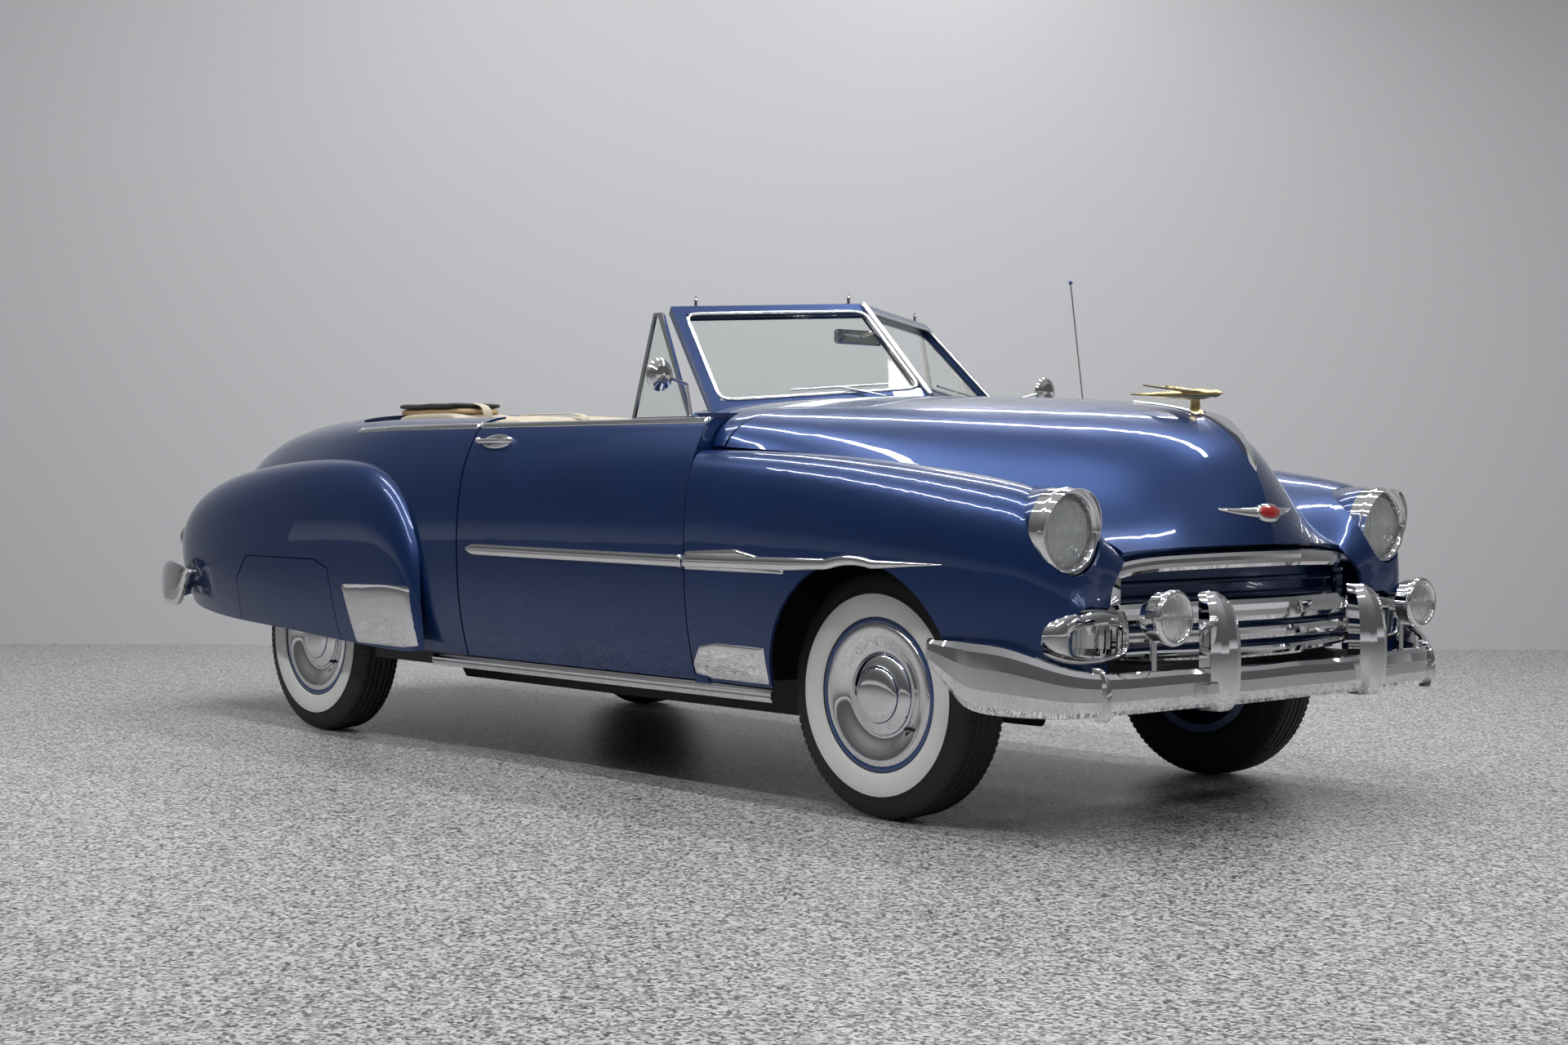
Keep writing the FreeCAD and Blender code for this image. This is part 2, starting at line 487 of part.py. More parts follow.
# Doors: one slab as thick as the whole door, cut to length
body_skin = skin(body_net())
door_skin = body_skin.copy()
door_skin.segment(0, door_reach_share, 0, belt_share)
inner_door_skin = door_skin.copy()
inner_door_skin.translate(Vector(0, -size("door_wall"), 0))
door_slab = between(door_skin, inner_door_skin)
door = door_slab.common(block((door_rear, 0, ground), (door_front, reach, sky)))
hinge_x = door_front - size("hinge_back")
hinge_y = half_width - size("hinge_inset")
half_hinge = size("hinge_height") / 2
pocket_out, pocket_in = size("hinge_eye") * 1.1, size("hinge_drop") + size("hinge_strap") / 2 + size("hinge_eye") / 2
pocket_clear = size("hinge_eye") / 2
straps = []
for level in ("hinge_low", "hinge_high"):
    z = size(level)
    top = z + half_hinge + pocket_clear
    bottom = z - half_hinge - pocket_clear
    pocket = block((hinge_x - size("hinge_eye") * 1.5, hinge_y - pocket_in, bottom),
                   (door_front + size("overrun"), hinge_y + pocket_out, top))
    pin = rod((hinge_x, hinge_y, bottom - pocket_clear), (hinge_x, hinge_y, top + pocket_clear),
              size("hinge_pin"))
    door = door.cut(pocket).fuse(pin)
    drop = size("hinge_drop")
    strap = size("hinge_strap")
    eye = rod((hinge_x, hinge_y, z - half_hinge), (hinge_x, hinge_y, z + half_hinge), size("hinge_eye"))
    back = drop / 2
    elbow = prism([(hinge_x, hinge_y - strap / 2, z - half_hinge), (hinge_x + strap / 2, hinge_y, z - half_hinge),
                   (hinge_x + back + strap / 2, hinge_y - drop + strap / 2, z - half_hinge),
                   (door_front + gap, hinge_y - drop + strap / 2, z - half_hinge),
                   (door_front + gap, hinge_y - drop - strap / 2, z - half_hinge),
                   (hinge_x + back, hinge_y - drop - strap / 2, z - half_hinge)], (0, 0, 2 * half_hinge))
    bore = rod((hinge_x, hinge_y, z - 2 * half_hinge), (hinge_x, hinge_y, z + 2 * half_hinge),
               size("hinge_pin") + size("pin_gap"))
    straps.append(eye.fuse(elbow).cut(bore))
door = door.removeSplitter()
feature("door_left", door)
feature("door_right", opposite(door))

# Quarters, deck and tail in one sheet with the cockpit, the trunk and the wheel arches open
rear_skin = body_skin.copy()
body_shell = sheet_toward(body_net(), wall, body_spine_shares)
rear_start = door_rear - gap
cockpit_rear = behind("cockpit_rear")
corner = size("cockpit_corner")
side = half_width - size("cockpit_inset")
cockpit = block((cockpit_rear, ground, size("rail_height")), (front_axle, side, sky))
cockpit = cockpit.makeFillet(corner, [edge for edge in cockpit.Edges
                                      if abs(edge.BoundBox.XLength) + abs(edge.BoundBox.YLength) < wall
                                      and edge.BoundBox.XMax < cockpit_rear + wall
                                      and edge.BoundBox.YMin > wall])
trunk_front = behind("trunk_front")
trunk_side = half_width - size("trunk_inset")
trunk_low = size("trunk_rear_height")
lid_gap = size("lid_gap")


def trunk_cutter(grow):
    """The lid's outline as a solid through the tail, grown by a gap."""
    cutter = block((-full_length, ground, trunk_low - grow), (trunk_front + grow, trunk_side + grow, sky))
    corners = [edge for edge in cutter.Edges
               if edge.BoundBox.YMin > wall and edge.BoundBox.ZLength + edge.BoundBox.XLength > wall
               and (edge.BoundBox.XMin > trunk_front - wall or edge.BoundBox.ZMax < trunk_low + wall)
               and edge.BoundBox.YLength < wall]
    return cutter.makeFillet(size("trunk_corner") + grow, corners)


rear_half = body_shell.common(block((-full_length, 0, ground), (rear_start, reach, sky)))
rear_half = rear_half.cut(cockpit)
lid_shell = sheet_toward(body_net(), size("lid_wall"), body_spine_shares)
lid_half = lid_shell.common(trunk_cutter(0)).common(block((-full_length, 0, ground), (front_axle, reach, sky)))
rear_half = rear_half.cut(trunk_cutter(lid_gap))
rear_arch_shape = arch(size("rear_arch_radius"), rear_axle)
rear_half = rear_half.cut(rear_arch_shape)

rear_body = joined(rear_half, opposite(rear_half))


def middle_height(shape, x, y):
    """The highest point of a shape above a place in plan."""
    line = Part.makeLine(Vector(x, y, ground), Vector(x, y, sky))
    return max(edge.BoundBox.ZMax for edge in shape.common(line).Edges)


def middle_height_side(shape, x, z):
    """The middle of a sheet's wall across the car at a place in side view."""
    line = Part.makeLine(Vector(x, 0, z), Vector(x, reach, z))
    box = max(shape.common(line).Edges, key=lambda edge: edge.Length).BoundBox
    return (box.YMin + box.YMax) / 2


def gooseneck(pin_x, pin_z, side_y, reach_x, attach_x, attach_z):
    """A lid's hinge arm that dips below the edge of the panel it swings past."""
    way = 1 if reach_x > 0 else -1
    run = abs(reach_x)
    half = size("neck_width") / 2
    dip_shares = [(0.0, 0.0), (0.22, -0.72), (0.80, -0.95), (1.28, -0.50)]
    points = [Vector(pin_x + way * run * a, side_y, pin_z + run * b) for a, b in dip_shares]
    points.append(Vector(attach_x, side_y, attach_z))
    depth = size("neck_wall")
    start = side_y - depth / 2
    arm = rod((pin_x, start, pin_z), (pin_x, start + depth, pin_z), size("neck_eye"))
    for first, last in zip(points, points[1:]):
        along = (last - first).normalize()
        off = Vector(-along.z, 0, along.x) * half
        corners = [first + off, last + off, last - off, first - off]
        arm = arm.fuse(prism([(p.x, start, p.z) for p in corners], (0, depth, 0)))
        arm = arm.fuse(rod((last.x, start, last.z), (last.x, start + depth, last.z), half))
    hole = rod((pin_x, start - depth, pin_z), (pin_x, start + 2 * depth, pin_z),
               size("neck_pin") + size("pin_gap"))
    return arm.cut(hole)


def hinge_bracket(pin_x, pin_z, side_y, under_z):
    """A pin on a plate that hangs from the panel over it."""
    depth = size("neck_wall")
    inner = side_y - depth / 2 - size("seat_gap")
    plate_half = size("neck_eye")
    plate = block((pin_x - plate_half, inner - depth, pin_z - plate_half), (pin_x + plate_half, inner, under_z))
    pin = rod((pin_x, inner - depth, pin_z), (pin_x, inner + 2 * depth, pin_z), size("neck_pin"))
    return plate.fuse(pin)


# Trunk lid with its two goosenecks
trunk_lid = joined(lid_half, opposite(lid_half))
trunk_pin_x = behind("trunk_pin_back")
trunk_pin_z = size("trunk_pin_height")
trunk_pin_y = size("trunk_pin_side")
run = trunk_front - trunk_pin_x
attach_x = trunk_pin_x + 1.28 * run
attach_z = middle_height(trunk_lid, attach_x, trunk_pin_y) - size("lid_wall")
neck = gooseneck(trunk_pin_x, trunk_pin_z, trunk_pin_y, run, attach_x, attach_z)
trunk_lid = joined(trunk_lid, neck, opposite(neck))
feature("trunk_lid", trunk_lid)
deck_under = middle_height(rear_body, trunk_pin_x, trunk_pin_y) - wall / 2
bracket = hinge_bracket(trunk_pin_x, trunk_pin_z, trunk_pin_y, deck_under)
rear_body = joined(rear_body, bracket, opposite(bracket))
feature("rear_body", rear_body)

# Rear fenders with a gap for their skirts
rear_fender_poles = net(rear_fender_shares)
rear_fender_sheet = sheet_toward(rear_fender_poles, wall, rear_fender_spine_shares)
body_core = block((-full_length, 0, ground), (front_axle, reach, sky))


def skirt_cutter(grow):
    """The skirt's outline as a prism, grown by a gap."""
    front = behind("skirt_front") + grow
    rear = behind("skirt_rear") - grow
    top = size("skirt_top") + grow
    slope = size("skirt_slope")
    points = [(front + slope / 2, rail_in, ground), (front - slope, rail_in, top - slope / 3),
              (front - slope * 2, rail_in, top), (rear + slope, rail_in, top),
              (rear, rail_in, top - slope), (rear, rail_in, ground)]
    return prism(points, (0, reach, 0))


skirt = rear_fender_sheet.common(skirt_cutter(0))
skirt_y = middle_height_side(skirt, rear_axle, size("skirt_top") - wall)
catch = rod((rear_axle, skirt_y, size("skirt_top") - 2 * wall),
            (rear_axle, skirt_y, size("skirt_top") + size("skirt_gap") - size("seat_gap")), wall / 4)
skirt = joined(skirt, catch)
rear_fender = rear_fender_sheet.cut(skirt_cutter(size("skirt_gap")))
# The fender's root is trimmed by the sheet of the body side that it is bolted to
rear_fender = rear_fender.cut(body_shell)
rear_fender = max(rear_fender.Solids, key=lambda solid: solid.Volume)
feature("rear_fenders", both(rear_fender))
feature("fender_skirts", both(skirt))

# Front fenders with their arches
front_fender_poles = net(front_fender_shares)
front_fender = sheet_toward(front_fender_poles, wall, front_fender_spine_shares)
front_fender = front_fender.cut(arch(size("front_arch_radius"), front_axle + size("front_arch_shift")))
front_fender = front_fender.cut(block((-full_length, 0, ground), (door_front + gap, reach, sky)))
lamp_x = front_axle + size("headlamp_ahead")
lamp_y = half_width - size("headlamp_inset")
lamp_z = size("headlamp_height")
lamp_radius = size("headlamp_radius")
lamp_start = lamp_x - size("headlamp_depth")
front_fender = front_fender.cut(rod((lamp_start, lamp_y, lamp_z), (lamp_x + reach, lamp_y, lamp_z),
                                    lamp_radius + size("seat_gap")))
front_fender = max(front_fender.Solids, key=lambda solid: solid.Volume)
feature("front_fenders", both(front_fender))

# Hood in two halves that meet at the crease
hood_poles = net(hood_shares)
hood_half = panel(hood_poles, size("hood_wall"), True)
hood_sheet = joined(hood_half, opposite(hood_half))

# Cowl between the hood and the windshield, with the door pillars and the hood's hinge brackets
cowl_sheet = panel(net(cowl_shares), wall, True)
tub_half = half_width - size("tub_inset")
door_line = door_front + gap
cowl_half = cowl_sheet.cut(block((-full_length, tub_half - 5 * wall, ground), (door_line, reach, sky)))
pillar_out = hinge_y - size("hinge_drop") + size("pillar_width") / 2
pillar = block((door_line, tub_half, size("sill_top")), (door_line + size("pillar_length"), pillar_out, size("pillar_top")))
pillar_head = block((door_line, tub_half, size("pillar_top")),
                    (door_line + size("pillar_length") / 2, tub_half + 3 * wall, size("pillar_top") + 6 * wall))
cowl_half = cowl_half.fuse([pillar, pillar_head])
hood_pin_x = behind("hood_pin_back")
hood_pin_z = size("hood_pin_height")
hood_pin_y = size("hood_pin_side")
cowl_under = middle_height(cowl_sheet, hood_pin_x, hood_pin_y) - wall / 2
cowl_half = cowl_half.fuse(hinge_bracket(hood_pin_x, hood_pin_z, hood_pin_y, cowl_under))
cowl_half = cowl_half.cut(front_fender)
cowl_half = max(cowl_half.Solids, key=lambda solid: solid.Volume)
cowl = joined(cowl_half, opposite(cowl_half))
feature("cowl", cowl)
feature("door_hinges", both(Part.makeCompound(straps)))

# The hood's goosenecks reach back under the cowl
hood_edge_x = hood_poles[0][1].x
run = hood_edge_x - hood_pin_x
attach_x = hood_pin_x + 1.28 * run
attach_z = middle_height(hood_sheet, attach_x, hood_pin_y) - size("hood_wall")
neck = gooseneck(hood_pin_x, hood_pin_z, hood_pin_y, run, attach_x, attach_z)
hood = joined(hood_sheet, neck, opposite(neck))
feature("hood", hood)

# Windshield: a frame round each flat pane, with a bar at the middle
screen_points = [place(*share) for share in screen_shares]


def screen_patch(inset_bottom, inset_side, inset_top, inset_middle, start, finish):
    """A slab in the pane's plane, inset from its four sides, between two depths behind its face."""
    low_middle, low_side, high_side, high_middle = screen_points
    across_low = (low_side - low_middle).normalize()
    up_middle = (high_middle - low_middle).normalize()
    across_high = (high_side - high_middle).normalize()
    up_side = (high_side - low_side).normalize()
    out = up_middle.cross(across_low).normalize()
    if out.x < 0:
        out = -out
    corners = [low_middle + across_low * inset_middle + up_middle * inset_bottom,
               low_side - across_low * inset_side + up_side * inset_bottom,
               high_side - across_high * inset_side - up_side * inset_top,
               high_middle + across_high * inset_middle - up_middle * inset_top]
    front_net = [[corners[0] - out * start, corners[1] - out * start],
                 [corners[3] - out * start, corners[2] - out * start]]
    back_net = [[corners[0] - out * finish, corners[1] - out * finish],
                [corners[3] - out * finish, corners[2] - out * finish]]
    return between(skin(front_net), skin(back_net))


frame_wide = size("screen_frame")
frame_wall = size("screen_frame_wall")
bar_half = size("screen_bar") / 2
pane_start = frame_wall / 2 - size("screen_glass") / 2
pane_end = pane_start + size("screen_glass")
right_half_space = block((-full_length, 0, ground), (full_length, reach, sky))
outer_frame = screen_patch(-frame_wide, 0, 0, -bar_half, 0, frame_wall).common(right_half_space)
window = screen_patch(frame_wide, frame_wide, frame_wide, bar_half, -frame_wall, 2 * frame_wall)
screen_half = outer_frame.cut(window)
cowl_top_cut = panel(net(cowl_shares), wall, True)
screen_half = screen_half.cut(cowl_top_cut)
screen_half = max(screen_half.Solids, key=lambda solid: solid.CenterOfMass.z)
windshield_frame = joined(screen_half, opposite(screen_half))
feature("windshield_frame", windshield_frame)
glass = screen_patch(frame_wide + size("seat_gap"), frame_wide + size("seat_gap"), frame_wide + size("seat_gap"),
                     bar_half + size("seat_gap"), pane_start, pane_end)
glass = max(glass.cut(cowl_top_cut).Solids, key=lambda solid: solid.Volume)
feature("windshield_glass", both(glass))

# Wheels and tyres


def outline(body, name, role, points):
    """A closed sketch of straight sides whose corners follow the sheet."""
    sketch = body.newObject("Sketcher::SketchObject", name)
    plane = next(item for item in body.Origin.OriginFeatures if item.Role == role)
    sketch.AttachmentSupport = [(plane, "")]
    sketch.MapMode = "FlatFace"
    places = []
    for pair in points:
        places.append(Vector(evaluate(pair[0]), evaluate(pair[1]), 0))
    for first, last in zip(places, places[1:] + places[:1]):
        sketch.addGeometry(Part.LineSegment(first, last), False)
    count = len(places)
    for index in range(count):
        sketch.addConstraint(Sketcher.Constraint("Coincident", index, 2, (index + 1) % count, 1))
    for index, pair in enumerate(points):
        for kind, text, value in (("DistanceX", pair[0], places[index].x), ("DistanceY", pair[1], places[index].y)):
            number = sketch.addConstraint(Sketcher.Constraint(kind, -1, 1, index, 1, value))
            sketch.renameConstraint(number, "%s%d" % (kind[-1].lower(), index))
            sketch.setExpression("Constraints.%s%d" % (kind[-1].lower(), index), formula(text))
    return sketch


def evaluate(text):
    """The number that a formula over the sheet gives, for a sketch's first drawing."""
    sheet.set("D1", "=" + text)
    sheet.recompute()
    value = float(sheet.get("D1"))
    sheet.clear("D1")
    return value


def revolved(name, points, base, turn=0):
    """A body turned about its own Y axis from an outline of radius and depth."""
    body = doc.addObject("PartDesign::Body", name)
    sketch = outline(body, name + "_outline", "XY_Plane", points)
    body.Placement = Placement(Vector(0, 0, 0), Rotation(Vector(0, 0, 1), turn))
    revolution = body.newObject("PartDesign::Revolution", name + "_turned")
    revolution.Profile = sketch
    revolution.ReferenceAxis = (sketch, ["V_Axis"])
    revolution.Angle = 360
    body.Tip = revolution
    for axis, text in zip("xyz", base):
        body.setExpression(".Placement.Base." + axis, formula(text))
    return body


tyre_outline = [("bead_radius", "-bead_half_width"), ("tyre_radius * 0.79", "-tyre_half_width"),
                ("shoulder_radius", "-tread_half_width"), ("tyre_radius", "-tread_half_width * 0.62"),
                ("tyre_radius", "tread_half_width * 0.62"), ("shoulder_radius", "tread_half_width"),
                ("tyre_radius * 0.79", "tyre_half_width"), ("bead_radius", "bead_half_width")]
bore = "(spindle_radius + pin_gap)"
# The wheel's front as shares of the trim ring's radius and the cap's height
cap_shares = [(0.000, 1.000), (0.160, 0.993), (0.270, 0.970), (0.345, 0.935), (0.391, 0.890), (0.406, 0.840),
              (0.450, 0.800), (0.510, 0.750), (0.568, 0.690), (0.585, 0.650), (0.625, 0.638), (0.680, 0.680),
              (0.760, 0.770), (0.840, 0.840), (0.910, 0.876), (0.965, 0.870)]
wheel_outline = [("trim_ring_radius * %g" % out, "cap_height * %g" % up) for out, up in cap_shares]
wheel_outline += [("trim_ring_radius", "rim_half_width"), ("rim_radius", "rim_half_width"),
                  ("rim_radius", "rim_half_width - rim_lip"), ("bead_radius - seat_gap", "bead_half_width"),
                  ("rim_well_radius", "0"), ("bead_radius - seat_gap", "-bead_half_width"),
                  ("rim_radius", "rim_lip - rim_half_width"), ("rim_radius", "-rim_half_width"),
                  ("bead_radius * 0.93", "-rim_half_width"), ("rim_well_radius - disc_wall", "-disc_wall * 2"),
                  ("drum_radius", "-disc_wall"), ("drum_radius", "-drum_depth"), (bore, "-drum_depth"),
                  (bore, "spindle_reach"), ("0", "spindle_reach")]
corners = {"fl": (front_axle_text, "half_width - front_wheel_inset", 0),
           "fr": (front_axle_text, "front_wheel_inset - half_width", 180),
           "rl": (rear_axle_text, "half_width - rear_wheel_inset", 0),
           "rr": (rear_axle_text, "rear_wheel_inset - half_width", 180)}
for corner_name, (along, beside, turn) in corners.items():
    keep(revolved("tyre_" + corner_name, tyre_outline, (along, beside, "hub_height")), "tyre_" + corner_name)
    keep(revolved("wheel_" + corner_name, wheel_outline, (along, beside, "hub_height"), turn),
         "wheel_" + corner_name)

# Knuckles on their kingpins
king = "(half_width - front_wheel_inset - kingpin_inset)"
plate_at = "(half_width - front_wheel_inset - drum_depth - drum_gap - plate_wall)"
barrel = bound("Cylinder", "barrel", (front_axle_text, king, "hub_height - barrel_height / 2"),
               Radius="barrel_radius", Height="barrel_height")
bore_cut = bound("Cylinder", "barrel_bore", (front_axle_text, king, "hub_height - barrel_height"),
                 Radius="kingpin_radius + pin_gap", Height="barrel_height * 2")
plate = bound("Cylinder", "backing_plate", (front_axle_text, plate_at, "hub_height"), across,
              Radius="plate_radius", Height="plate_wall")
spindle = bound("Cylinder", "spindle", (front_axle_text, king + " + kingpin_radius * 1.5", "hub_height"), across,
                Radius="spindle_radius", Height="kingpin_inset - kingpin_radius * 1.5 + spindle_reach - seat_gap")
steer_arm = bound("Box", "steer_arm", (front_axle_text + " - steer_arm_length", king + " - steer_arm_width / 2",
                                       "hub_height - barrel_height / 2"),
                  Length="steer_arm_length", Width="steer_arm_width", Height="steer_arm_wall")
knuckle_blank = fused("knuckle_blank", barrel, plate, spindle, steer_arm)
knuckle_left = doc.addObject("Part::Cut", "knuckle_left")
knuckle_left.Base = knuckle_blank
knuckle_left.Tool = bore_cut
keep(knuckle_left, "knuckle_left")
keep(mirror_of("knuckle_right", knuckle_left), "knuckle_right")

# Rear axle with its banjo housing, torque tube and backing plates
hub = size("hub_height")
plate_start = (half_width - size("rear_wheel_inset")) - size("drum_depth") - size("drum_gap")
shaft_end = (half_width - size("rear_wheel_inset")) + size("spindle_reach") - size("seat_gap")
banjo_r = size("banjo_radius")
banjo_half = size("banjo_wall")
banjo = Part.makeSphere(banjo_r, Vector(rear_axle, 0, hub))
banjo = banjo.common(block((rear_axle - banjo_r, -banjo_half, hub - banjo_r), (rear_axle + banjo_r, banjo_half, hub + banjo_r)))
axle_parts = [rod((rear_axle, -plate_start, hub), (rear_axle, plate_start, hub), size("axle_radius")),
              rod((rear_axle, -shaft_end, hub), (rear_axle, shaft_end, hub), size("spindle_radius")),
              rod((rear_axle, 0, hub), (rear_axle + size("torque_length"), 0, hub - size("torque_drop")), size("torque_radius"))]
for way in (-1, 1):
    axle_parts.append(rod((rear_axle, way * plate_start, hub), (rear_axle, way * (plate_start - size("plate_wall")), hub),
                          size("plate_radius")))
rear_axle_shape = joined(banjo, *axle_parts)
feature("rear_axle", rear_axle_shape)

# Engine as one block, radiator, fuel tank and muffler
keep(bound("Box", "engine", (front_axle_text + " + engine_front - engine_length", "-engine_width / 2", "engine_bottom"),
           Length="engine_length", Width="engine_width", Height="engine_height"), "engine")
keep(bound("Box", "radiator", (front_axle_text + " + radiator_front - radiator_depth", "-radiator_half_width",
                               "radiator_bottom"),
           Length="radiator_depth", Width="radiator_half_width * 2", Height="radiator_top - radiator_bottom"),
     "radiator")
tank_box = bound("Box", "tank_box", (front_axle_text + " - tank_back - tank_length", "-tank_width / 2",
                                     "trunk_floor_height - seat_gap - tank_depth"),
                 Length="tank_length", Width="tank_width", Height="tank_depth")
tank = doc.addObject("Part::Chamfer", "fuel_tank")
tank.Base = tank_box
doc.recompute()
tank.Edges = [(number + 1, size("tank_edge"), size("tank_edge")) for number in range(len(tank_box.Shape.Edges))]
keep(tank, "fuel_tank")
keep(fused("exhaust",
           bound("Cylinder", "muffler", (front_axle_text + " - muffler_back - muffler_length", "pipe_inset - pipe_inset * 0.284",
                                         "muffler_height"), forward, Radius="muffler_radius", Height="muffler_length"),
           bound("Cylinder", "front_pipe", (front_axle_text + " - muffler_back - muffler_length / 2",
                                            "pipe_inset - pipe_inset * 0.284", "pipe_height"), forward,
                 Radius="pipe_radius", Height="muffler_back * 0.7 + muffler_length / 2"),
           bound("Cylinder", "front_hanger", (front_axle_text + " - muffler_back - muffler_length * 0.2",
                                              "pipe_inset - pipe_inset * 0.284", "muffler_height"),
                 Radius="pipe_radius / 3", Height="floor_height - seat_gap - muffler_height"),
           bound("Cylinder", "rear_hanger", (front_axle_text + " - muffler_back - muffler_length * 0.8",
                                             "pipe_inset - pipe_inset * 0.284", "muffler_height"),
                 Radius="pipe_radius / 3", Height="floor_height - seat_gap - muffler_height")), "exhaust")

# Chassis: two side rails that kick up over the rear axle, with cross members
rail_out = rail_in + size("rail_width")
depth = size("rail_depth")
front_top = size("rail_front_top")
mid_top = size("rail_mid_top")
kick_top = size("trunk_floor_height") - size("seat_gap")
wheelbase = size("wheelbase")
# Stations of a rail as shares of the wheelbase ahead of the front axle, with the top at each
rail_top_shares = [(0.235, front_top), (-0.155, front_top), (-0.231, mid_top), (-0.853, mid_top),
                   (-0.91, kick_top), (-1.37, kick_top)]
upper = [(front_axle + share * wheelbase, rail_in, top) for share, top in rail_top_shares]
lower = [(x, y, top - depth) for x, y, top in reversed(upper)]
rail = prism(upper + lower, (0, rail_out - rail_in, 0))
member_length = size("rail_width")
chassis = joined(rail, opposite(rail))
for share, top in ((0.15, front_top), (-0.30, mid_top), (-0.62, mid_top), (-1.345, kick_top)):
    x = front_axle + share * wheelbase
    chassis = chassis.fuse(block((x - member_length, -rail_in, top - depth), (x, rail_in, top)))
mount_x = front_axle + size("engine_front") - size("engine_length") / 2
mount_half = size("mount_half_length")
for way in (-1, 1):
    near = way * (size("engine_width") / 2 + size("seat_gap"))
    chassis = chassis.fuse(block((mount_x - mount_half, min(near, way * rail_in), front_top - depth * 0.7),
                                 (mount_x + mount_half, max(near, way * rail_in), front_top - depth * 0.3)))
chassis = chassis.removeSplitter()
# The kicked up rear of the frame is welded on where the rails start to rise
weld_x = front_axle + rail_top_shares[3][0] * wheelbase
rear_space = block((-full_length, -reach, ground), (weld_x, reach, sky))
rear_frame = chassis.common(rear_space)
chassis = chassis.cut(rear_space)

# Front suspension: kingpins carried by arms from the rails
hub = size("hub_height")
king_y = half_width - size("front_wheel_inset") - size("kingpin_inset")
half_pin = size("kingpin_height") / 2
half_barrel = size("barrel_height") / 2 + size("seat_gap")
arm_wall = size("steer_arm_wall")
suspension = rod((front_axle, king_y, hub - half_pin), (front_axle, king_y, hub + half_pin), size("kingpin_radius"))
pin_half = size("barrel_radius")
for level in (-1, 1):
    z = hub + level * half_barrel - (arm_wall if level < 0 else 0)
    root_half = pin_half * 4
    arm = prism([(front_axle - pin_half, king_y + pin_half, z), (front_axle + pin_half, king_y + pin_half, z),
                 (front_axle + root_half, rail_out, z), (front_axle - root_half, rail_out, z)], (0, 0, arm_wall))
    suspension = suspension.fuse(arm)
suspension = suspension.removeSplitter()
# Leaf springs under the rear axle
spring_y = half_width - size("rear_wheel_inset") - size("spring_from_wheel")
spring_half = size("spring_length") / 2
leaf = size("spring_depth")
axle_bottom = hub - size("axle_radius") - size("seat_gap")
arc = Part.Arc(Vector(rear_axle - spring_half, spring_y, axle_bottom - leaf + size("spring_rise")),
               Vector(rear_axle, spring_y, axle_bottom - leaf),
               Vector(rear_axle + spring_half, spring_y, axle_bottom - leaf + size("spring_rise"))).toShape()
leaf_face = arc.extrude(Vector(0, 0, leaf))
spring = leaf_face.extrude(Vector(0, size("spring_width"), 0))
# The spring's front eye pins to the rail and its rear end hangs from a shackle
eye = size("spring_eye")
eye_z = axle_bottom - leaf + size("spring_rise") + leaf / 2
rail_face = rail_out + size("seat_gap")
front_eye_x = rear_axle + spring_half - eye
rear_eye_x = rear_axle - spring_half + eye
shackle_top = kick_top - depth / 2
spring = spring.fuse([rod((front_eye_x, rail_face, eye_z), (front_eye_x, spring_y + leaf, eye_z), eye),
                      block((rear_eye_x - eye, spring_y - size("shackle_wall"), eye_z - eye),
                            (rear_eye_x + eye, spring_y, shackle_top + eye)),
                      rod((rear_eye_x, rail_face, shackle_top), (rear_eye_x, spring_y, shackle_top), eye)])
feature("suspension", Part.makeCompound([suspension, opposite(suspension), spring, opposite(spring)]))
feature("chassis", chassis)
feature("rear_frame", rear_frame)

# Floor tub: floor, sills, riser, trunk floor and firewall
floor_z = size("floor_height")
floor_wall = size("floor_wall")
tub_half = half_width - size("tub_inset")
fire_x = behind("firewall_back")
kick_x = behind("kick_up_back")
trunk_z = size("trunk_floor_height")
tail_x = front_axle - 1.365 * wheelbase
floor = block((kick_x, -tub_half, floor_z), (fire_x, tub_half, floor_z + floor_wall))
tunnel_half = size("tunnel_half")
trunk_side_out = half_width - size("trunk_floor_inset")
tunnel = block((kick_x - 2 * floor_wall, -tunnel_half, ground),
               (behind("rear_seat_back") + size("cushion_length"), tunnel_half, floor_z + 3 * floor_wall))
floor = floor.cut(tunnel)
runners = []
for name in ("front_seat_back", "rear_seat_back"):
    for way in (-1, 1):
        near = way * size("runner_side")
        far = way * (size("runner_side") + size("runner_width"))
        runners.append(block((behind(name), min(near, far), floor_z),
                             (behind(name) + size("cushion_length") * 0.9, max(near, far),
                              floor_z + floor_wall + size("seat_lift"))))
sill_in, sill_out = tub_half, half_width * 0.895
sill = block((kick_x, sill_in, size("sill_bottom")), (door_front + gap, sill_out, size("sill_top")))
riser = block((kick_x - floor_wall, -trunk_side_out, floor_z),
              (kick_x, trunk_side_out, trunk_z + floor_wall)).cut(tunnel)
trunk_floor = block((tail_x, -trunk_side_out, trunk_z),
                    (kick_x, trunk_side_out, trunk_z + floor_wall))
firewall = block((fire_x - floor_wall, -tub_half, floor_z), (fire_x, tub_half, hood_height))
firewall = firewall.cut(panel(net(cowl_shares), wall, True).fuse(opposite(cowl_sheet)))
firewall = max(firewall.Solids, key=lambda solid: solid.Volume)
rear_line = door_rear - gap
jamb_low = size("sill_top") + wall
jamb = block((rear_line - size("jamb_length"), tub_half, jamb_low), (rear_line, reach, size("rail_height")))
jamb = jamb.cut(body_shell)
jamb = min(jamb.Solids, key=lambda solid: solid.CenterOfMass.y)
jamb = jamb.fuse(block((rear_line - size("jamb_length"), tub_half, size("sill_top") - wall / 2),
                       (rear_line, tub_half + 5 * wall, jamb_low)))
tub = joined(floor, sill, opposite(sill), riser, trunk_floor, firewall, jamb, opposite(jamb), *runners)
feature("floor_tub", tub)

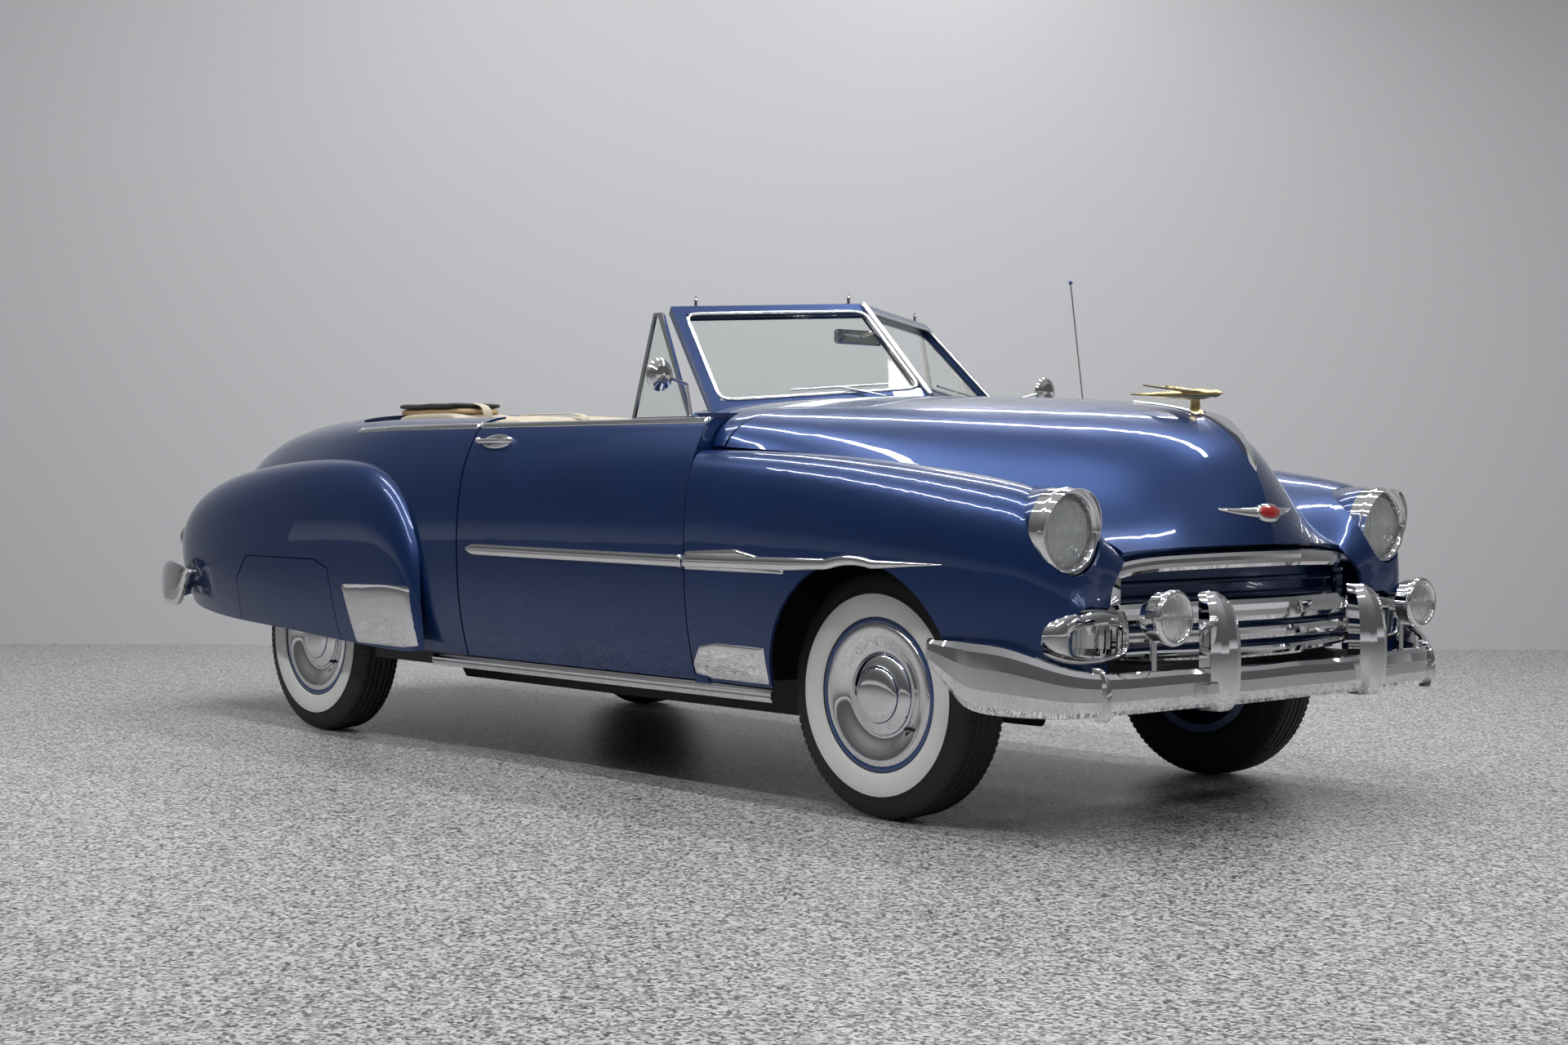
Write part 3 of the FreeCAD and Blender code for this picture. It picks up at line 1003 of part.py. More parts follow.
# Seats
def seat(name, back_name, base_name, half_name):
    """A bench from its side outline, with rounded edges."""
    body = doc.addObject("PartDesign::Body", name)
    base = base_name
    points = [("0", "0"), ("cushion_length", "0"), ("cushion_length * 1.02", "cushion_depth"),
              ("backrest_depth * 0.95", "cushion_depth * 0.85"), ("0", "backrest_height"),
              ("-backrest_depth * 0.8", "backrest_height * 0.98"), ("-backrest_depth * 0.25", "0")]
    sketch = outline(body, name + "_outline", "XZ_Plane", points)
    pad = body.newObject("PartDesign::Pad", name + "_pad")
    pad.Profile = sketch
    pad.SideType = "Symmetric"
    pad.setExpression("Length", formula(half_name + " * 2"))
    body.Tip = pad
    doc.recompute()
    edges = body.newObject("PartDesign::Chamfer", name + "_edges")
    edges.Base = (pad, [""])
    edges.UseAllEdges = True
    edges.setExpression("Size", formula("seat_edge"))
    body.Tip = edges
    for axis, text in zip("xyz", (front_axle_text + " - " + back_name, "0", base)):
        body.setExpression(".Placement.Base." + axis, formula(text))
    return body


keep(seat("front_seat", "front_seat_back", "floor_height + floor_wall + seat_lift + seat_gap", "(half_width - seat_inset)"), "front_seat")
keep(seat("rear_seat", "rear_seat_back", "floor_height + floor_wall + seat_lift + seat_gap", "(half_width - rear_seat_inset)"), "rear_seat")

# Steering wheel and column
tilt = math.radians(size("column_tilt"))
ring_centre = Vector(behind("ring_back"), size("steering_side"), size("ring_height"))
column_way = Vector(math.cos(tilt), 0, -math.sin(tilt))
hub_start = ring_centre + column_way * size("seat_gap")
column_foot = ring_centre + column_way * size("column_length")
wheel_turn = Rotation(Vector(0, 1, 0), 90 + size("column_tilt"))
ring = doc.addObject("Part::Feature", "ring")
ring_radius, ring_bar = size("wheel_ring_radius"), size("wheel_ring_bar")
ring_sides = 10
ring_wire = Part.makePolygon([Vector(ring_radius + ring_bar * math.cos(2 * math.pi * step / ring_sides), 0,
                                     ring_bar * math.sin(2 * math.pi * step / ring_sides))
                              for step in range(ring_sides + 1)])
ring.Shape = Part.Face(ring_wire).revolve(Vector(0, 0, 0), Vector(0, 0, 1), 360)
hub_cap = doc.addObject("Part::Cylinder", "wheel_hub")
hub_cap.setExpression("Radius", formula("hub_radius"))
hub_cap.setExpression("Height", formula("hub_depth"))
spoke = doc.addObject("Part::Cylinder", "spokes")
spoke.Placement = Placement(Vector(0, 0, 0), across)
spoke.setExpression("Radius", formula("spoke_radius"))
spoke.setExpression("Height", formula("wheel_ring_radius * 2"))
spoke.setExpression(".Placement.Base.y", formula("-wheel_ring_radius"))
steering = fused("steering_wheel", ring, hub_cap, spoke)
steering.Placement = Placement(ring_centre, wheel_turn)
keep(steering, "steering_wheel")
column = rod(ring_centre + column_way * (size("hub_depth") + size("seat_gap")), column_foot, size("column_radius"))

# Dashboard
dash_back = behind("dash_back")
dash_top = size("dash_top")
dash_half = half_width - size("dash_inset")
dash = block((dash_back - size("dash_depth"), -dash_half, dash_top - size("dash_height")), (dash_back, dash_half, dash_top))
dash = dash.makeFillet(size("seat_edge"), [edge for edge in dash.Edges if edge.BoundBox.YLength > dash_half
                                           and edge.BoundBox.XMax < dash_back - wall])
dash = dash.cut(screen_half.fuse(opposite(screen_half))).cut(cowl)
column_hole = rod(ring_centre, column_foot, size("column_radius") + size("seat_gap"))
dash = dash.cut(column_hole)
feature("dashboard", dash)
column = column.cut(floor.fuse(firewall))
feature("steering_column", max(column.Solids, key=lambda solid: solid.Volume))

# Folded top
top = block((behind("cockpit_rear") + size("seat_gap"), -(half_width - size("top_inset")), size("top_bottom")),
            (behind("top_front"), (half_width - size("top_inset")), size("top_height")))
top = top.makeChamfer(size("seat_edge"), top.Edges)
feature("folded_top", top)


def swept(points, section, up=Vector(0, 0, 1)):
    """A bar with a closed section of (out, up) pairs lofted along points."""
    spots = [Vector(*point) for point in points]
    wires = []
    for index, spot in enumerate(spots):
        way = spots[min(index + 1, len(spots) - 1)] - spots[max(index - 1, 0)]
        out = way.cross(up).normalize()
        corners = [spot + out * a + up * b for a, b in section]
        wires.append(Part.makePolygon(corners + [corners[0]]))
    return Part.makeLoft(wires, True, False)


def lofted(sections):
    """A solid through closed outlines with as many corners each."""
    return Part.makeLoft([Part.makePolygon(list(corners) + [corners[0]]) for corners in sections], True, False)


def hit(shape, start, end):
    """Where a straight line first meets a shape on its way."""
    start, end = Vector(*start), Vector(*end)
    touched = shape.common(Part.makeLine(start, end)).Vertexes
    return min((vertex.Point for vertex in touched), key=lambda point: (point - start).Length)


def largest(shape):
    """The largest solid of a shape."""
    return max(shape.Solids, key=lambda solid: solid.Volume)


# Bumpers: a channel round each end with upright guards
bumper_wall = size("bumper_wall")
bumper_sheet = size("bumper_sheet")
front_tip = front_axle + size("front_overhang")
rear_tip = rear_axle - size("rear_overhang")
mid_height = size("bumper_mid")
# Half plans as shares: of the half width across, of the wheelbase back from the tip,
# and of the bar's height below and above its middle
front_plan_shares = [(0.982, 0.178, -1.90, 2.38), (0.983, 0.170, -0.95, 2.42), (0.982, 0.155, -0.28, 2.42),
                     (0.980, 0.133, 0.78, 2.44), (0.975, 0.108, 1.14, 2.38), (0.950, 0.080, 1.20, 2.10),
                     (0.900, 0.054, 1.20, 1.50), (0.840, 0.038, 1.16, 1.12), (0.700, 0.022, 1.06, 1.00),
                     (0.400, 0.012, 1.00, 1.00), (0.0, 0.009, 1.00, 1.00)]
rear_plan_shares = [(0.980, 0.150, -1.20, 1.40), (0.982, 0.135, 0.40, 1.70), (0.980, 0.118, 1.34, 1.90),
                    (0.972, 0.094, 1.36, 2.00), (0.945, 0.064, 1.24, 1.72), (0.870, 0.036, 1.06, 1.12),
                    (0.700, 0.014, 1.00, 1.00), (0.400, 0.006, 1.00, 1.00), (0.0, 0.004, 1.00, 1.00)]
# The channel's section as shares of its depth and of its height below or above the middle
channel_shares = [(0.00, -1.00), (0.55, -0.96), (0.88, -0.74), (1.00, -0.30), (1.00, 0.30), (0.88, 0.74),
                  (0.55, 0.96), (0.00, 1.00)]


def bumper_bar(plan_shares, tip, way, height):
    """The channel of one bumper, way being 1 at the front and -1 at the rear."""
    half_tall = size("bumper_height") / 2
    half = [(Vector(tip - way * back * wheelbase - way * bumper_wall, across_share * half_width, height),
             low * half_tall, high * half_tall) for across_share, back, low, high in plan_shares]
    whole = half + [(Vector(spot.x, -spot.y, spot.z), low, high) for spot, low, high in reversed(half[:-1])]
    sections = []
    for index, (spot, low, high) in enumerate(whole):
        along = whole[min(index + 1, len(whole) - 1)][0] - whole[max(index - 1, 0)][0]
        out = along.cross(Vector(0, 0, 1)).normalize()
        if out.x * way < 0 and abs(out.x) > 0.01:
            out = -out
        if (out.y * spot.y) < 0 and abs(out.x) <= 0.01:
            out = -out
        middle, half_high = (high - low) / 2, (high + low) / 2
        face = [(depth * bumper_wall, middle + half_high * tall) for depth, tall in channel_shares]
        inner = [(max(depth * bumper_wall - bumper_sheet, 0), middle + half_high * tall * 0.84)
                 for depth, tall in channel_shares[1:-1]]
        outline_points = [spot + out * depth + Vector(0, 0, tall) for depth, tall in face + inner[::-1]]
        sections.append(outline_points)
    return lofted(sections)


front_bar = bumper_bar(front_plan_shares, front_tip, 1, mid_height)
rear_bar = bumper_bar(rear_plan_shares, rear_tip, -1, size("rear_bumper_mid"))
# A guard's rise as shares of its height, with the depth cut back and the width left there
guard_shares = [(0.00, 0.34, 0.60), (0.07, 0.12, 0.86), (0.25, 0.00, 1.00), (0.52, 0.00, 1.00), (0.72, 0.10, 0.94),
                (0.88, 0.34, 0.78), (0.97, 0.66, 0.48), (1.00, 0.86, 0.26)]
# A guard's plan as shares of its depth and half width
guard_plan_shares = [(1.0, -0.94), (0.45, -1.0), (0.10, -0.80), (0.0, -0.35), (0.0, 0.35), (0.10, 0.80),
                     (0.45, 1.0), (1.0, 0.94)]


def guard(tip, way, low, high, side, half, deep):
    """An upright guard, rounded in front and swept back at its top."""
    sections = []
    for rise, cut_back, width in guard_shares:
        front = tip - way * deep * cut_back
        depth = deep * (1.06 - 0.5 * cut_back)
        sections.append([Vector(front - way * depth * back, side + half * width * out, low + (high - low) * rise)
                         for back, out in guard_plan_shares])
    return lofted(sections)


guard_place = (size("guard_side"), size("guard_half_width"), size("guard_depth"))
front_guard = guard(front_tip, 1, size("guard_bottom"), size("guard_top"), *guard_place)
rear_guard = guard(rear_tip, -1, size("rear_guard_bottom"), size("rear_guard_top"), size("guard_side"),
                   size("guard_half_width"), size("rear_guard_depth"))
small_guard = guard(front_tip - size("small_guard_back"), 1, size("small_guard_bottom"), size("small_guard_top"),
                    size("small_guard_side"), size("small_guard_half_width"), size("small_guard_depth"))
iron_x = front_axle + rail_top_shares[0][0] * wheelbase
front_iron = block((iron_x, rail_in, mid_height - arm_wall),
                   (front_tip - bumper_wall - size("bumper_back"), rail_out, mid_height + arm_wall))
rear_iron = block((rear_tip + bumper_wall + size("bumper_back") / 2, rail_in, kick_top - depth),
                  (front_axle + rail_top_shares[5][0] * wheelbase, rail_out, kick_top - depth + arm_wall))
front_lug = block((front_tip - bumper_wall - size("bumper_back"), rail_in, mid_height - arm_wall),
                  (front_tip - bumper_wall / 2, rail_out - arm_wall, mid_height + arm_wall))
rear_lug = block((rear_tip + bumper_wall / 2, rail_in, kick_top - depth),
                 (rear_tip + bumper_wall + size("bumper_back") / 2, rail_out - arm_wall, kick_top - depth + arm_wall))
front_half = front_guard.fuse([small_guard, front_iron, front_lug])
feature("front_bumper", largest(joined(front_bar, front_half, opposite(front_half))))
rear_half_iron = rear_guard.fuse([rear_iron, rear_lug])
feature("rear_bumper", largest(joined(rear_bar, rear_half_iron, opposite(rear_half_iron))))

# Headlamps: a bowl with its bezel and a peaked visor, and a domed lens
bezel = size("bezel_ahead")
lens_radius = size("lens_radius")
bowl = size("bowl_depth")
bezel_outline = [(0, -bowl), (lens_radius * 0.6, -bowl * 0.8), (lens_radius * 0.96, -bowl * 0.2), (lamp_radius, -bowl * 0.3),
                 (lamp_radius, bezel * 0.75), (lamp_radius * 0.96, bezel * 0.95), (lamp_radius * 0.91, bezel),
                 (lens_radius + size("seat_gap"), bezel * 0.7), (lens_radius + size("seat_gap"), 0),
                 (lens_radius * 0.93, 0), (lens_radius * 0.88, -bowl * 0.2), (lens_radius * 0.55, -bowl * 0.68),
                 (0, -bowl * 0.86)]


def turned_about(outline_points, centre):
    """A solid turned about a line ahead through a centre, from pairs of radius and place ahead."""
    wire = Part.makePolygon([Vector(ahead, out, 0) for out, ahead in outline_points + outline_points[:1]])
    solid = Part.Face(wire).revolve(Vector(0, 0, 0), Vector(1, 0, 0), 360)
    solid.translate(Vector(*centre))
    return solid


lamp_centre = (lamp_x, lamp_y, lamp_z)
visor_wall = size("visor_wall")
visor = turned_about([(lamp_radius - visor_wall, bezel * 0.6), (lamp_radius, bezel * 0.6),
                      (lamp_radius - visor_wall / 2, size("visor_ahead")),
                      (lamp_radius - visor_wall, size("visor_ahead"))], lamp_centre)
slope_back = size("visor_ahead")
visor_trim = prism([(lamp_x + bezel * 0.8, 0, lamp_z - lamp_radius), (lamp_x + bezel * 0.9, 0, lamp_z - lamp_radius / 3),
                    (lamp_x + slope_back, 0, lamp_z + lamp_radius * 0.92),
                    (lamp_x + slope_back, 0, sky), (lamp_x + reach, 0, sky), (lamp_x + reach, 0, ground),
                    (lamp_x + bezel * 0.8, 0, ground)], (0, reach, 0))
headlamp = joined(turned_about(bezel_outline, lamp_centre), visor.cut(visor_trim))
feature("headlamps", both(headlamp))
dome = size("lens_dome")
lens_outline = [(0, bezel * 0.3), (lens_radius, bezel * 0.05), (lens_radius, bezel * 0.3), (lens_radius * 0.85, bezel * 0.3 + dome * 0.45),
                (lens_radius * 0.6, bezel * 0.3 + dome * 0.75), (lens_radius * 0.3, bezel * 0.3 + dome * 0.95), (0, bezel * 0.3 + dome)]
lens = turned_about(lens_outline, lamp_centre)

# Grille: an arched header on two posts, three bars and a parking lamp housing at each end
bar_deep = size("bar_depth")
# Shares of the wheelbase ahead, the half width out and the hood's height at the lower and upper edge
header_shares = [(0.2020, 0.609, 0.505, 0.561), (0.2126, 0.548, 0.564, 0.602), (0.2225, 0.480, 0.576, 0.613),
                 (0.2350, 0.341, 0.582, 0.620), (0.2475, 0.176, 0.585, 0.624), (0.2520, 0.0, 0.586, 0.625)]
upper_bar_shares = [(0.2150, 0.560, 0.464, 0.512), (0.2230, 0.480, 0.462, 0.515), (0.2350, 0.330, 0.462, 0.517),
                    (0.2470, 0.160, 0.463, 0.518), (0.2500, 0.0, 0.463, 0.518)]
middle_bar_shares = [(0.2150, 0.560, 0.420, 0.449), (0.2230, 0.480, 0.420, 0.450), (0.2350, 0.330, 0.421, 0.451),
                     (0.2470, 0.160, 0.422, 0.452), (0.2500, 0.0, 0.422, 0.452)]
lower_bar_shares = [(0.2150, 0.560, 0.389, 0.404), (0.2230, 0.480, 0.384, 0.408), (0.2350, 0.330, 0.382, 0.408),
                    (0.2470, 0.160, 0.381, 0.408), (0.2500, 0.0, 0.381, 0.408)]
nacelle_shares = [(0.2190, 0.538, 0.388, 0.502), (0.2232, 0.597, 0.386, 0.506), (0.2248, 0.661, 0.387, 0.511),
                  (0.2218, 0.735, 0.392, 0.512), (0.2110, 0.799, 0.404, 0.500), (0.1990, 0.850, 0.421, 0.478),
                  (0.1885, 0.882, 0.438, 0.455)]
# A bar's section as shares of its depth back from its face and of its height
bar_section_shares = [(1.00, 0.06), (0.50, 0.00), (0.16, 0.06), (0.02, 0.26), (0.00, 0.50), (0.02, 0.74),
                      (0.16, 0.94), (0.50, 1.00), (1.00, 0.94)]


def cross_bar(shares, deep, whole=True):
    """A bar lofted across the car through stations given as shares."""
    stations = [(front_axle + ahead * wheelbase, out * half_width, low * hood_height, high * hood_height)
                for ahead, out, low, high in shares]
    if whole:
        stations += [(x, -y, low, high) for x, y, low, high in reversed(stations[:-1])]
    return lofted([[Vector(x - deep * back, y, low + (high - low) * up) for back, up in bar_section_shares]
                   for x, y, low, high in stations])


nacelle_deep = size("nacelle_depth")
nacelle = cross_bar(nacelle_shares, nacelle_deep, False)
bars = [cross_bar(shares, bar_deep) for shares in (header_shares, upper_bar_shares, middle_bar_shares, lower_bar_shares)]
post = prism([(front_axle + header_shares[0][0] * wheelbase, size("post_outer"), size("post_low")),
              (front_axle + header_shares[1][0] * wheelbase, size("post_inner"), size("post_low")),
              (front_axle + header_shares[1][0] * wheelbase - size("post_wall"), size("post_inner"), size("post_low")),
              (front_axle + header_shares[0][0] * wheelbase - size("post_wall"), size("post_outer"), size("post_low"))],
             (0, 0, size("post_high") - size("post_low")))
lens_wall = size("lens_wall")
lens_space = block((front_axle, size("parking_in"), size("parking_low")),
                   (front_tip, size("parking_out"), size("parking_high")))
lens_shell = nacelle.copy()
lens_shell.translate(Vector(lens_wall, 0, 0))
parking_lens = largest(lens_shell.common(lens_space).cut(nacelle))
backed = nacelle.copy()
backed.translate(Vector(-size("louvre_depth"), 0, 0))
slots = nacelle
for index in range(5):
    slot_y = size("louvre_in") + index * size("louvre_step")
    slot = block((front_axle, slot_y - size("louvre_half"), size("parking_low")),
                 (front_tip, slot_y + size("louvre_half"), size("parking_high")))
    slots = slots.cut(slot.cut(backed))
grille_half = slots.fuse(post)
grille = largest(joined(bars[0], grille_half, opposite(grille_half), *bars[1:]))
feature("grille", grille)
ahead_of_it = nacelle.copy()
ahead_of_it.translate(Vector(nacelle_deep / 2, 0, 0))
front_fender_seated = largest(front_fender.cut(ahead_of_it).cut(nacelle).cut(grille))
for obj in nodes:
    if obj.Label == "front_fenders":
        obj.Shape = both(front_fender_seated)
feature("lamp_lenses", Part.makeCompound([lens, opposite(lens), parking_lens, opposite(parking_lens)]))

# The splash panel behind the grille, ribbed across and seated on the rails
splash_x = front_axle + size("splash_ahead")
splash_half = half_width - size("splash_inset")
splash_low = front_top + size("seat_gap")
splash = block((splash_x, -splash_half, splash_low), (splash_x + size("splash_wall"), splash_half, size("splash_top")))
rib_radius = size("rib_radius")
ribs = []
rib_count = 6
for index in range(rib_count):
    rib_z = splash_low + (size("splash_top") - splash_low) * (index + 1) / (rib_count + 1)
    ribs.append(rod((splash_x + size("splash_wall"), -splash_half + 2 * rib_radius, rib_z),
                    (splash_x + size("splash_wall"), splash_half - 2 * rib_radius, rib_z), rib_radius))
splash = largest(joined(splash, *ribs).cut(both(front_fender_seated)))
feature("splash_panel", splash)

# Fog lamps on stems that stand on the bumper
fog_x = front_axle + size("fog_ahead")
fog_y = half_width - size("fog_inset")
fog_z = size("fog_height")
fog_r = size("fog_radius")
fog_deep = size("fog_depth")
fog_rim = size("fog_rim")
fog_centre = (fog_x, fog_y, fog_z)
fog = turned_about([(0, -fog_deep), (fog_r * 0.35, -fog_deep * 0.95), (fog_r * 0.7, -fog_deep * 0.72), (fog_r * 0.92, -fog_deep * 0.4),
                    (fog_r * 0.95, -fog_rim), (fog_r, -fog_rim), (fog_r, fog_rim), (fog_r * 0.93, fog_rim),
                    (fog_r * 0.75, fog_rim * 1.8), (fog_r * 0.4, fog_rim * 2.6), (0, fog_rim * 3)], fog_centre)
foot_x = fog_x - size("fog_foot")
stem = rod((foot_x, fog_y, fog_z), (foot_x, fog_y, mid_height + size("bumper_height") / 2 - bumper_sheet), size("fog_stem"))
fog = largest(joined(fog, stem).cut(front_bar))
feature("fog_lamps", both(fog))

# Tail lamps on the ends of the rear fenders
tail_r = size("tail_lamp_radius")
tail_y = half_width - size("tail_lamp_inset")
tail_z = size("tail_lamp_height")
tail_face = hit(rear_fender, (rear_tip, tail_y, tail_z), (rear_axle, tail_y, tail_z)).x
tail_deep = size("tail_lamp_depth")
tail = turned_about([(0, -tail_deep / 2), (tail_r * 0.5, -tail_deep * 0.46), (tail_r * 0.85, -tail_deep * 0.3), (tail_r, -tail_deep * 0.1),
                     (tail_r, tail_deep * 1.4), (0, tail_deep * 1.4)], (tail_face, tail_y, tail_z))
tail = min(tail.cut(rear_fender).cut(body_shell).Solids, key=lambda solid: solid.CenterOfMass.x)
feature("tail_lamps", both(tail))

# Fittings on the doors: a vent window in its frame, a pull handle and a mirror
vent_low, vent_high = size("vent_bottom"), size("vent_top")
vent_y = half_width - size("vent_inset")
lean_share = size("vent_lean") / (vent_high - vent_low)


def vent_patch(inset, start, finish):
    """A leaning slab with the vent window's outline, inset on all sides, between two depths."""
    corners = [(behind("vent_front") - 1.6 * inset, vent_low + inset), (behind("vent_rear") + inset, vent_low + inset),
               (behind("vent_rear") + inset, vent_high - inset),
               (behind("vent_front") - size("vent_rake") - 1.2 * inset, vent_high - inset)]
    return prism([(x, vent_y + start - (z - vent_low) * lean_share, z) for x, z in corners], (0, finish - start, 0))


vent_wall = size("vent_wall")
pane = size("vent_glass")
vent_frame = vent_patch(0, 0, vent_wall).cut(vent_patch(size("vent_bar"), -vent_wall, 2 * vent_wall))
vent_frame = max(vent_frame.cut(door).Solids, key=lambda solid: solid.CenterOfMass.z)
vent_pane = vent_patch(size("vent_bar") + size("seat_gap"), (vent_wall - pane) / 2, (vent_wall + pane) / 2)
vent_pane = max(vent_pane.cut(door).Solids, key=lambda solid: solid.CenterOfMass.z)
handle_z = size("handle_height")
handle_start = behind("handle_back")
handle_long = size("handle_length")
handle_shares = [(0.00, 0.00), (0.05, 0.60), (0.14, 0.95), (0.50, 1.10), (0.86, 0.95), (0.95, 0.60), (1.00, 0.00)]
handle_points = []
for along_share, out_share in handle_shares:
    x = handle_start - handle_long * along_share
    skin_y = hit(door, (x, reach, handle_z), (x, 0, handle_z)).y
    handle_points.append((x, skin_y + size("handle_stand") * out_share, handle_z))
handle_section_shares = [(0.0, -1.0), (0.7, -0.7), (1.0, 0.0), (0.7, 0.7), (0.0, 1.0), (-0.7, 0.7), (-1.0, 0.0), (-0.7, -0.7)]
handle = lofted([[Vector(x, y + size("handle_depth") * out, z + size("handle_width") * up)
                  for out, up in handle_section_shares] for x, y, z in handle_points])
handle = handle.cut(door)
handle = largest(handle)
mirror_at = (behind("mirror_back"), half_width - size("mirror_inset"), size("mirror_height"))
mirror_r = size("mirror_radius")
mirror_deep = size("mirror_depth")
mirror = turned_about([(0, 0), (mirror_r * 0.97, 0), (mirror_r, mirror_deep * 0.2), (mirror_r * 0.9, mirror_deep * 0.55),
                       (mirror_r * 0.55, mirror_deep * 0.9), (0, mirror_deep)], mirror_at)
mirror_foot = (behind("mirror_back"), half_width - size("mirror_foot_inset"), size("mirror_foot_height"))
mirror_knee = (mirror_foot[0], mirror_foot[1] + size("mirror_stem") * 4, mirror_at[2] - mirror_r / 2)
mirror_end = (mirror_at[0] + mirror_deep / 2, mirror_at[1], mirror_at[2])
mirror = mirror.fuse([rod(mirror_foot, mirror_knee, size("mirror_stem")), rod(mirror_knee, mirror_end, size("mirror_stem")),
                      Part.makeSphere(size("mirror_stem"), Vector(*mirror_knee))])
mirror = largest(mirror.cut(door))
feature("door_trim_left", Part.makeCompound([vent_frame, handle, mirror]))
feature("door_trim_right", opposite(Part.makeCompound([vent_frame, handle, mirror])))
feature("vent_glass_left", vent_pane)
feature("vent_glass_right", opposite(vent_pane))

# Fittings round the windshield: the inner mirror, two wipers and the antenna
inner_at = Vector(behind("inner_mirror_back"), 0, size("inner_mirror_height"))
inner_body = block((inner_at.x, -size("inner_mirror_half_width"), inner_at.z - size("inner_mirror_half_height")),
                   (inner_at.x + size("inner_mirror_depth"), size("inner_mirror_half_width"),
                    inner_at.z + size("inner_mirror_half_height")))
inner_body = inner_body.makeChamfer(size("inner_mirror_depth") * 0.3, inner_body.Edges)
inner_stem = rod((inner_at.x + size("inner_mirror_depth") / 2, 0, inner_at.z),
                 (inner_at.x + 6 * size("inner_mirror_depth"), 0, inner_at.z + size("inner_mirror_depth")),
                 size("inner_mirror_stem"))
inner_mirror = inner_body.fuse(inner_stem).cut(windshield_frame)
inner_mirror = min(inner_mirror.Solids, key=lambda solid: solid.CenterOfMass.x)
low_middle, low_side, high_side, high_middle = screen_points
sill_way = (low_side - low_middle).normalize()
pane_up = (high_middle - low_middle).normalize()
pane_out = pane_up.cross(sill_way).normalize()
if pane_out.x < 0:
    pane_out = -pane_out
bar = size("wiper_bar")
lift = pane_out * (2.2 * bar) + pane_up * (1.5 * frame_wide)
pivot = low_middle + sill_way * size("wiper_side") + pane_out * (3 * bar)
blade_start = low_middle + sill_way * (size("wiper_side") * 0.8) + lift
blade_end = blade_start + sill_way * size("wiper_reach")
cowl_below = Vector(pivot.x, pivot.y, pivot.z - 3 * size("wiper_pivot"))
wiper = rod(tuple(blade_start), tuple(blade_end), bar)
wiper = wiper.fuse([rod(tuple(pivot), tuple((blade_start + blade_end) / 2), bar),
                    rod(tuple(cowl_below), tuple(pivot + Vector(0, 0, bar)), size("wiper_pivot"))])
wiper = wiper.cut(cowl).cut(windshield_frame)
wiper = max(wiper.Solids, key=lambda solid: solid.CenterOfMass.z)
mast_foot = Vector(behind("antenna_back"), half_width - size("antenna_inset"), size("antenna_foot"))
mast_top = Vector(behind("antenna_back") - size("antenna_lean"), mast_foot.y, size("antenna_top"))
mast = rod(tuple(mast_foot), tuple(mast_top), size("antenna_bar"))
mast = mast.fuse([rod(tuple(mast_foot), tuple(mast_foot + Vector(0, 0, 2.5 * size("antenna_base"))), size("antenna_base")),
                  Part.makeSphere(size("antenna_bead"), mast_top)])
mast_carrier = Part.makeCompound([cowl, both(front_fender_seated), hood])
mast = max(mast.cut(mast_carrier).Solids, key=lambda solid: solid.CenterOfMass.z)
feature("screen_fittings", Part.makeCompound([inner_mirror, wiper, opposite(wiper), mast]))

# The hood's ornament: a slim dart over the crease
ornament_start = front_axle + size("ornament_back")
ornament_shares = [(0.00, 0.25, 0.10), (0.20, 0.70, 0.45), (0.50, 1.00, 0.85), (0.80, 1.00, 1.00), (0.95, 0.70, 0.90),
                   (1.00, 0.15, 0.70)]
dart = []
for along_share, width_share, height_share in ornament_shares:
    x = ornament_start + size("ornament_length") * along_share
    base_z = hit(hood, (x, 0, sky), (x, 0, 0)).z - size("hood_wall") / 2
    top_z = base_z + size("hood_wall") / 2 + size("ornament_height") * height_share
    half = size("ornament_half_width") * width_share
    dart.append([Vector(x, -half, base_z), Vector(x, -half, base_z + (top_z - base_z) * 0.6), Vector(x, 0, top_z),
                 Vector(x, half, base_z + (top_z - base_z) * 0.6), Vector(x, half, base_z)])
ornament = largest(lofted(dart).cut(hood))
feature("hood_ornament", ornament)

doc.recompute()
for obj in doc.Objects:
    if "Invalid" in obj.State or "Error" in obj.State:
        raise RuntimeError("%s did not recompute" % obj.Label)
for obj in nodes:
    shape = obj.Shape
    if shape.isNull() or not shape.isValid():
        raise RuntimeError("%s has no sound shape" % obj.Label)
    shape.exportStep(os.path.join("parts", obj.Label + ".step"))
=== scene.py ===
# %% [markdown]
# # An open car with chrome trim
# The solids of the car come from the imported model: panels, wheels, lamps, bumpers and seats, each at its
# real size. This script gives every one of them a finish, and adds what is made by moulding, sewing and
# polishing: tyre tread, trim strips, glass, seat covers and the folded top.
# Everything is in metres, with X forward, Y to the left and Z up.

# %% Load the frame
import math

import bpy
import numpy as np
from mathutils import Matrix, Vector
from mathutils.bvhtree import BVHTree


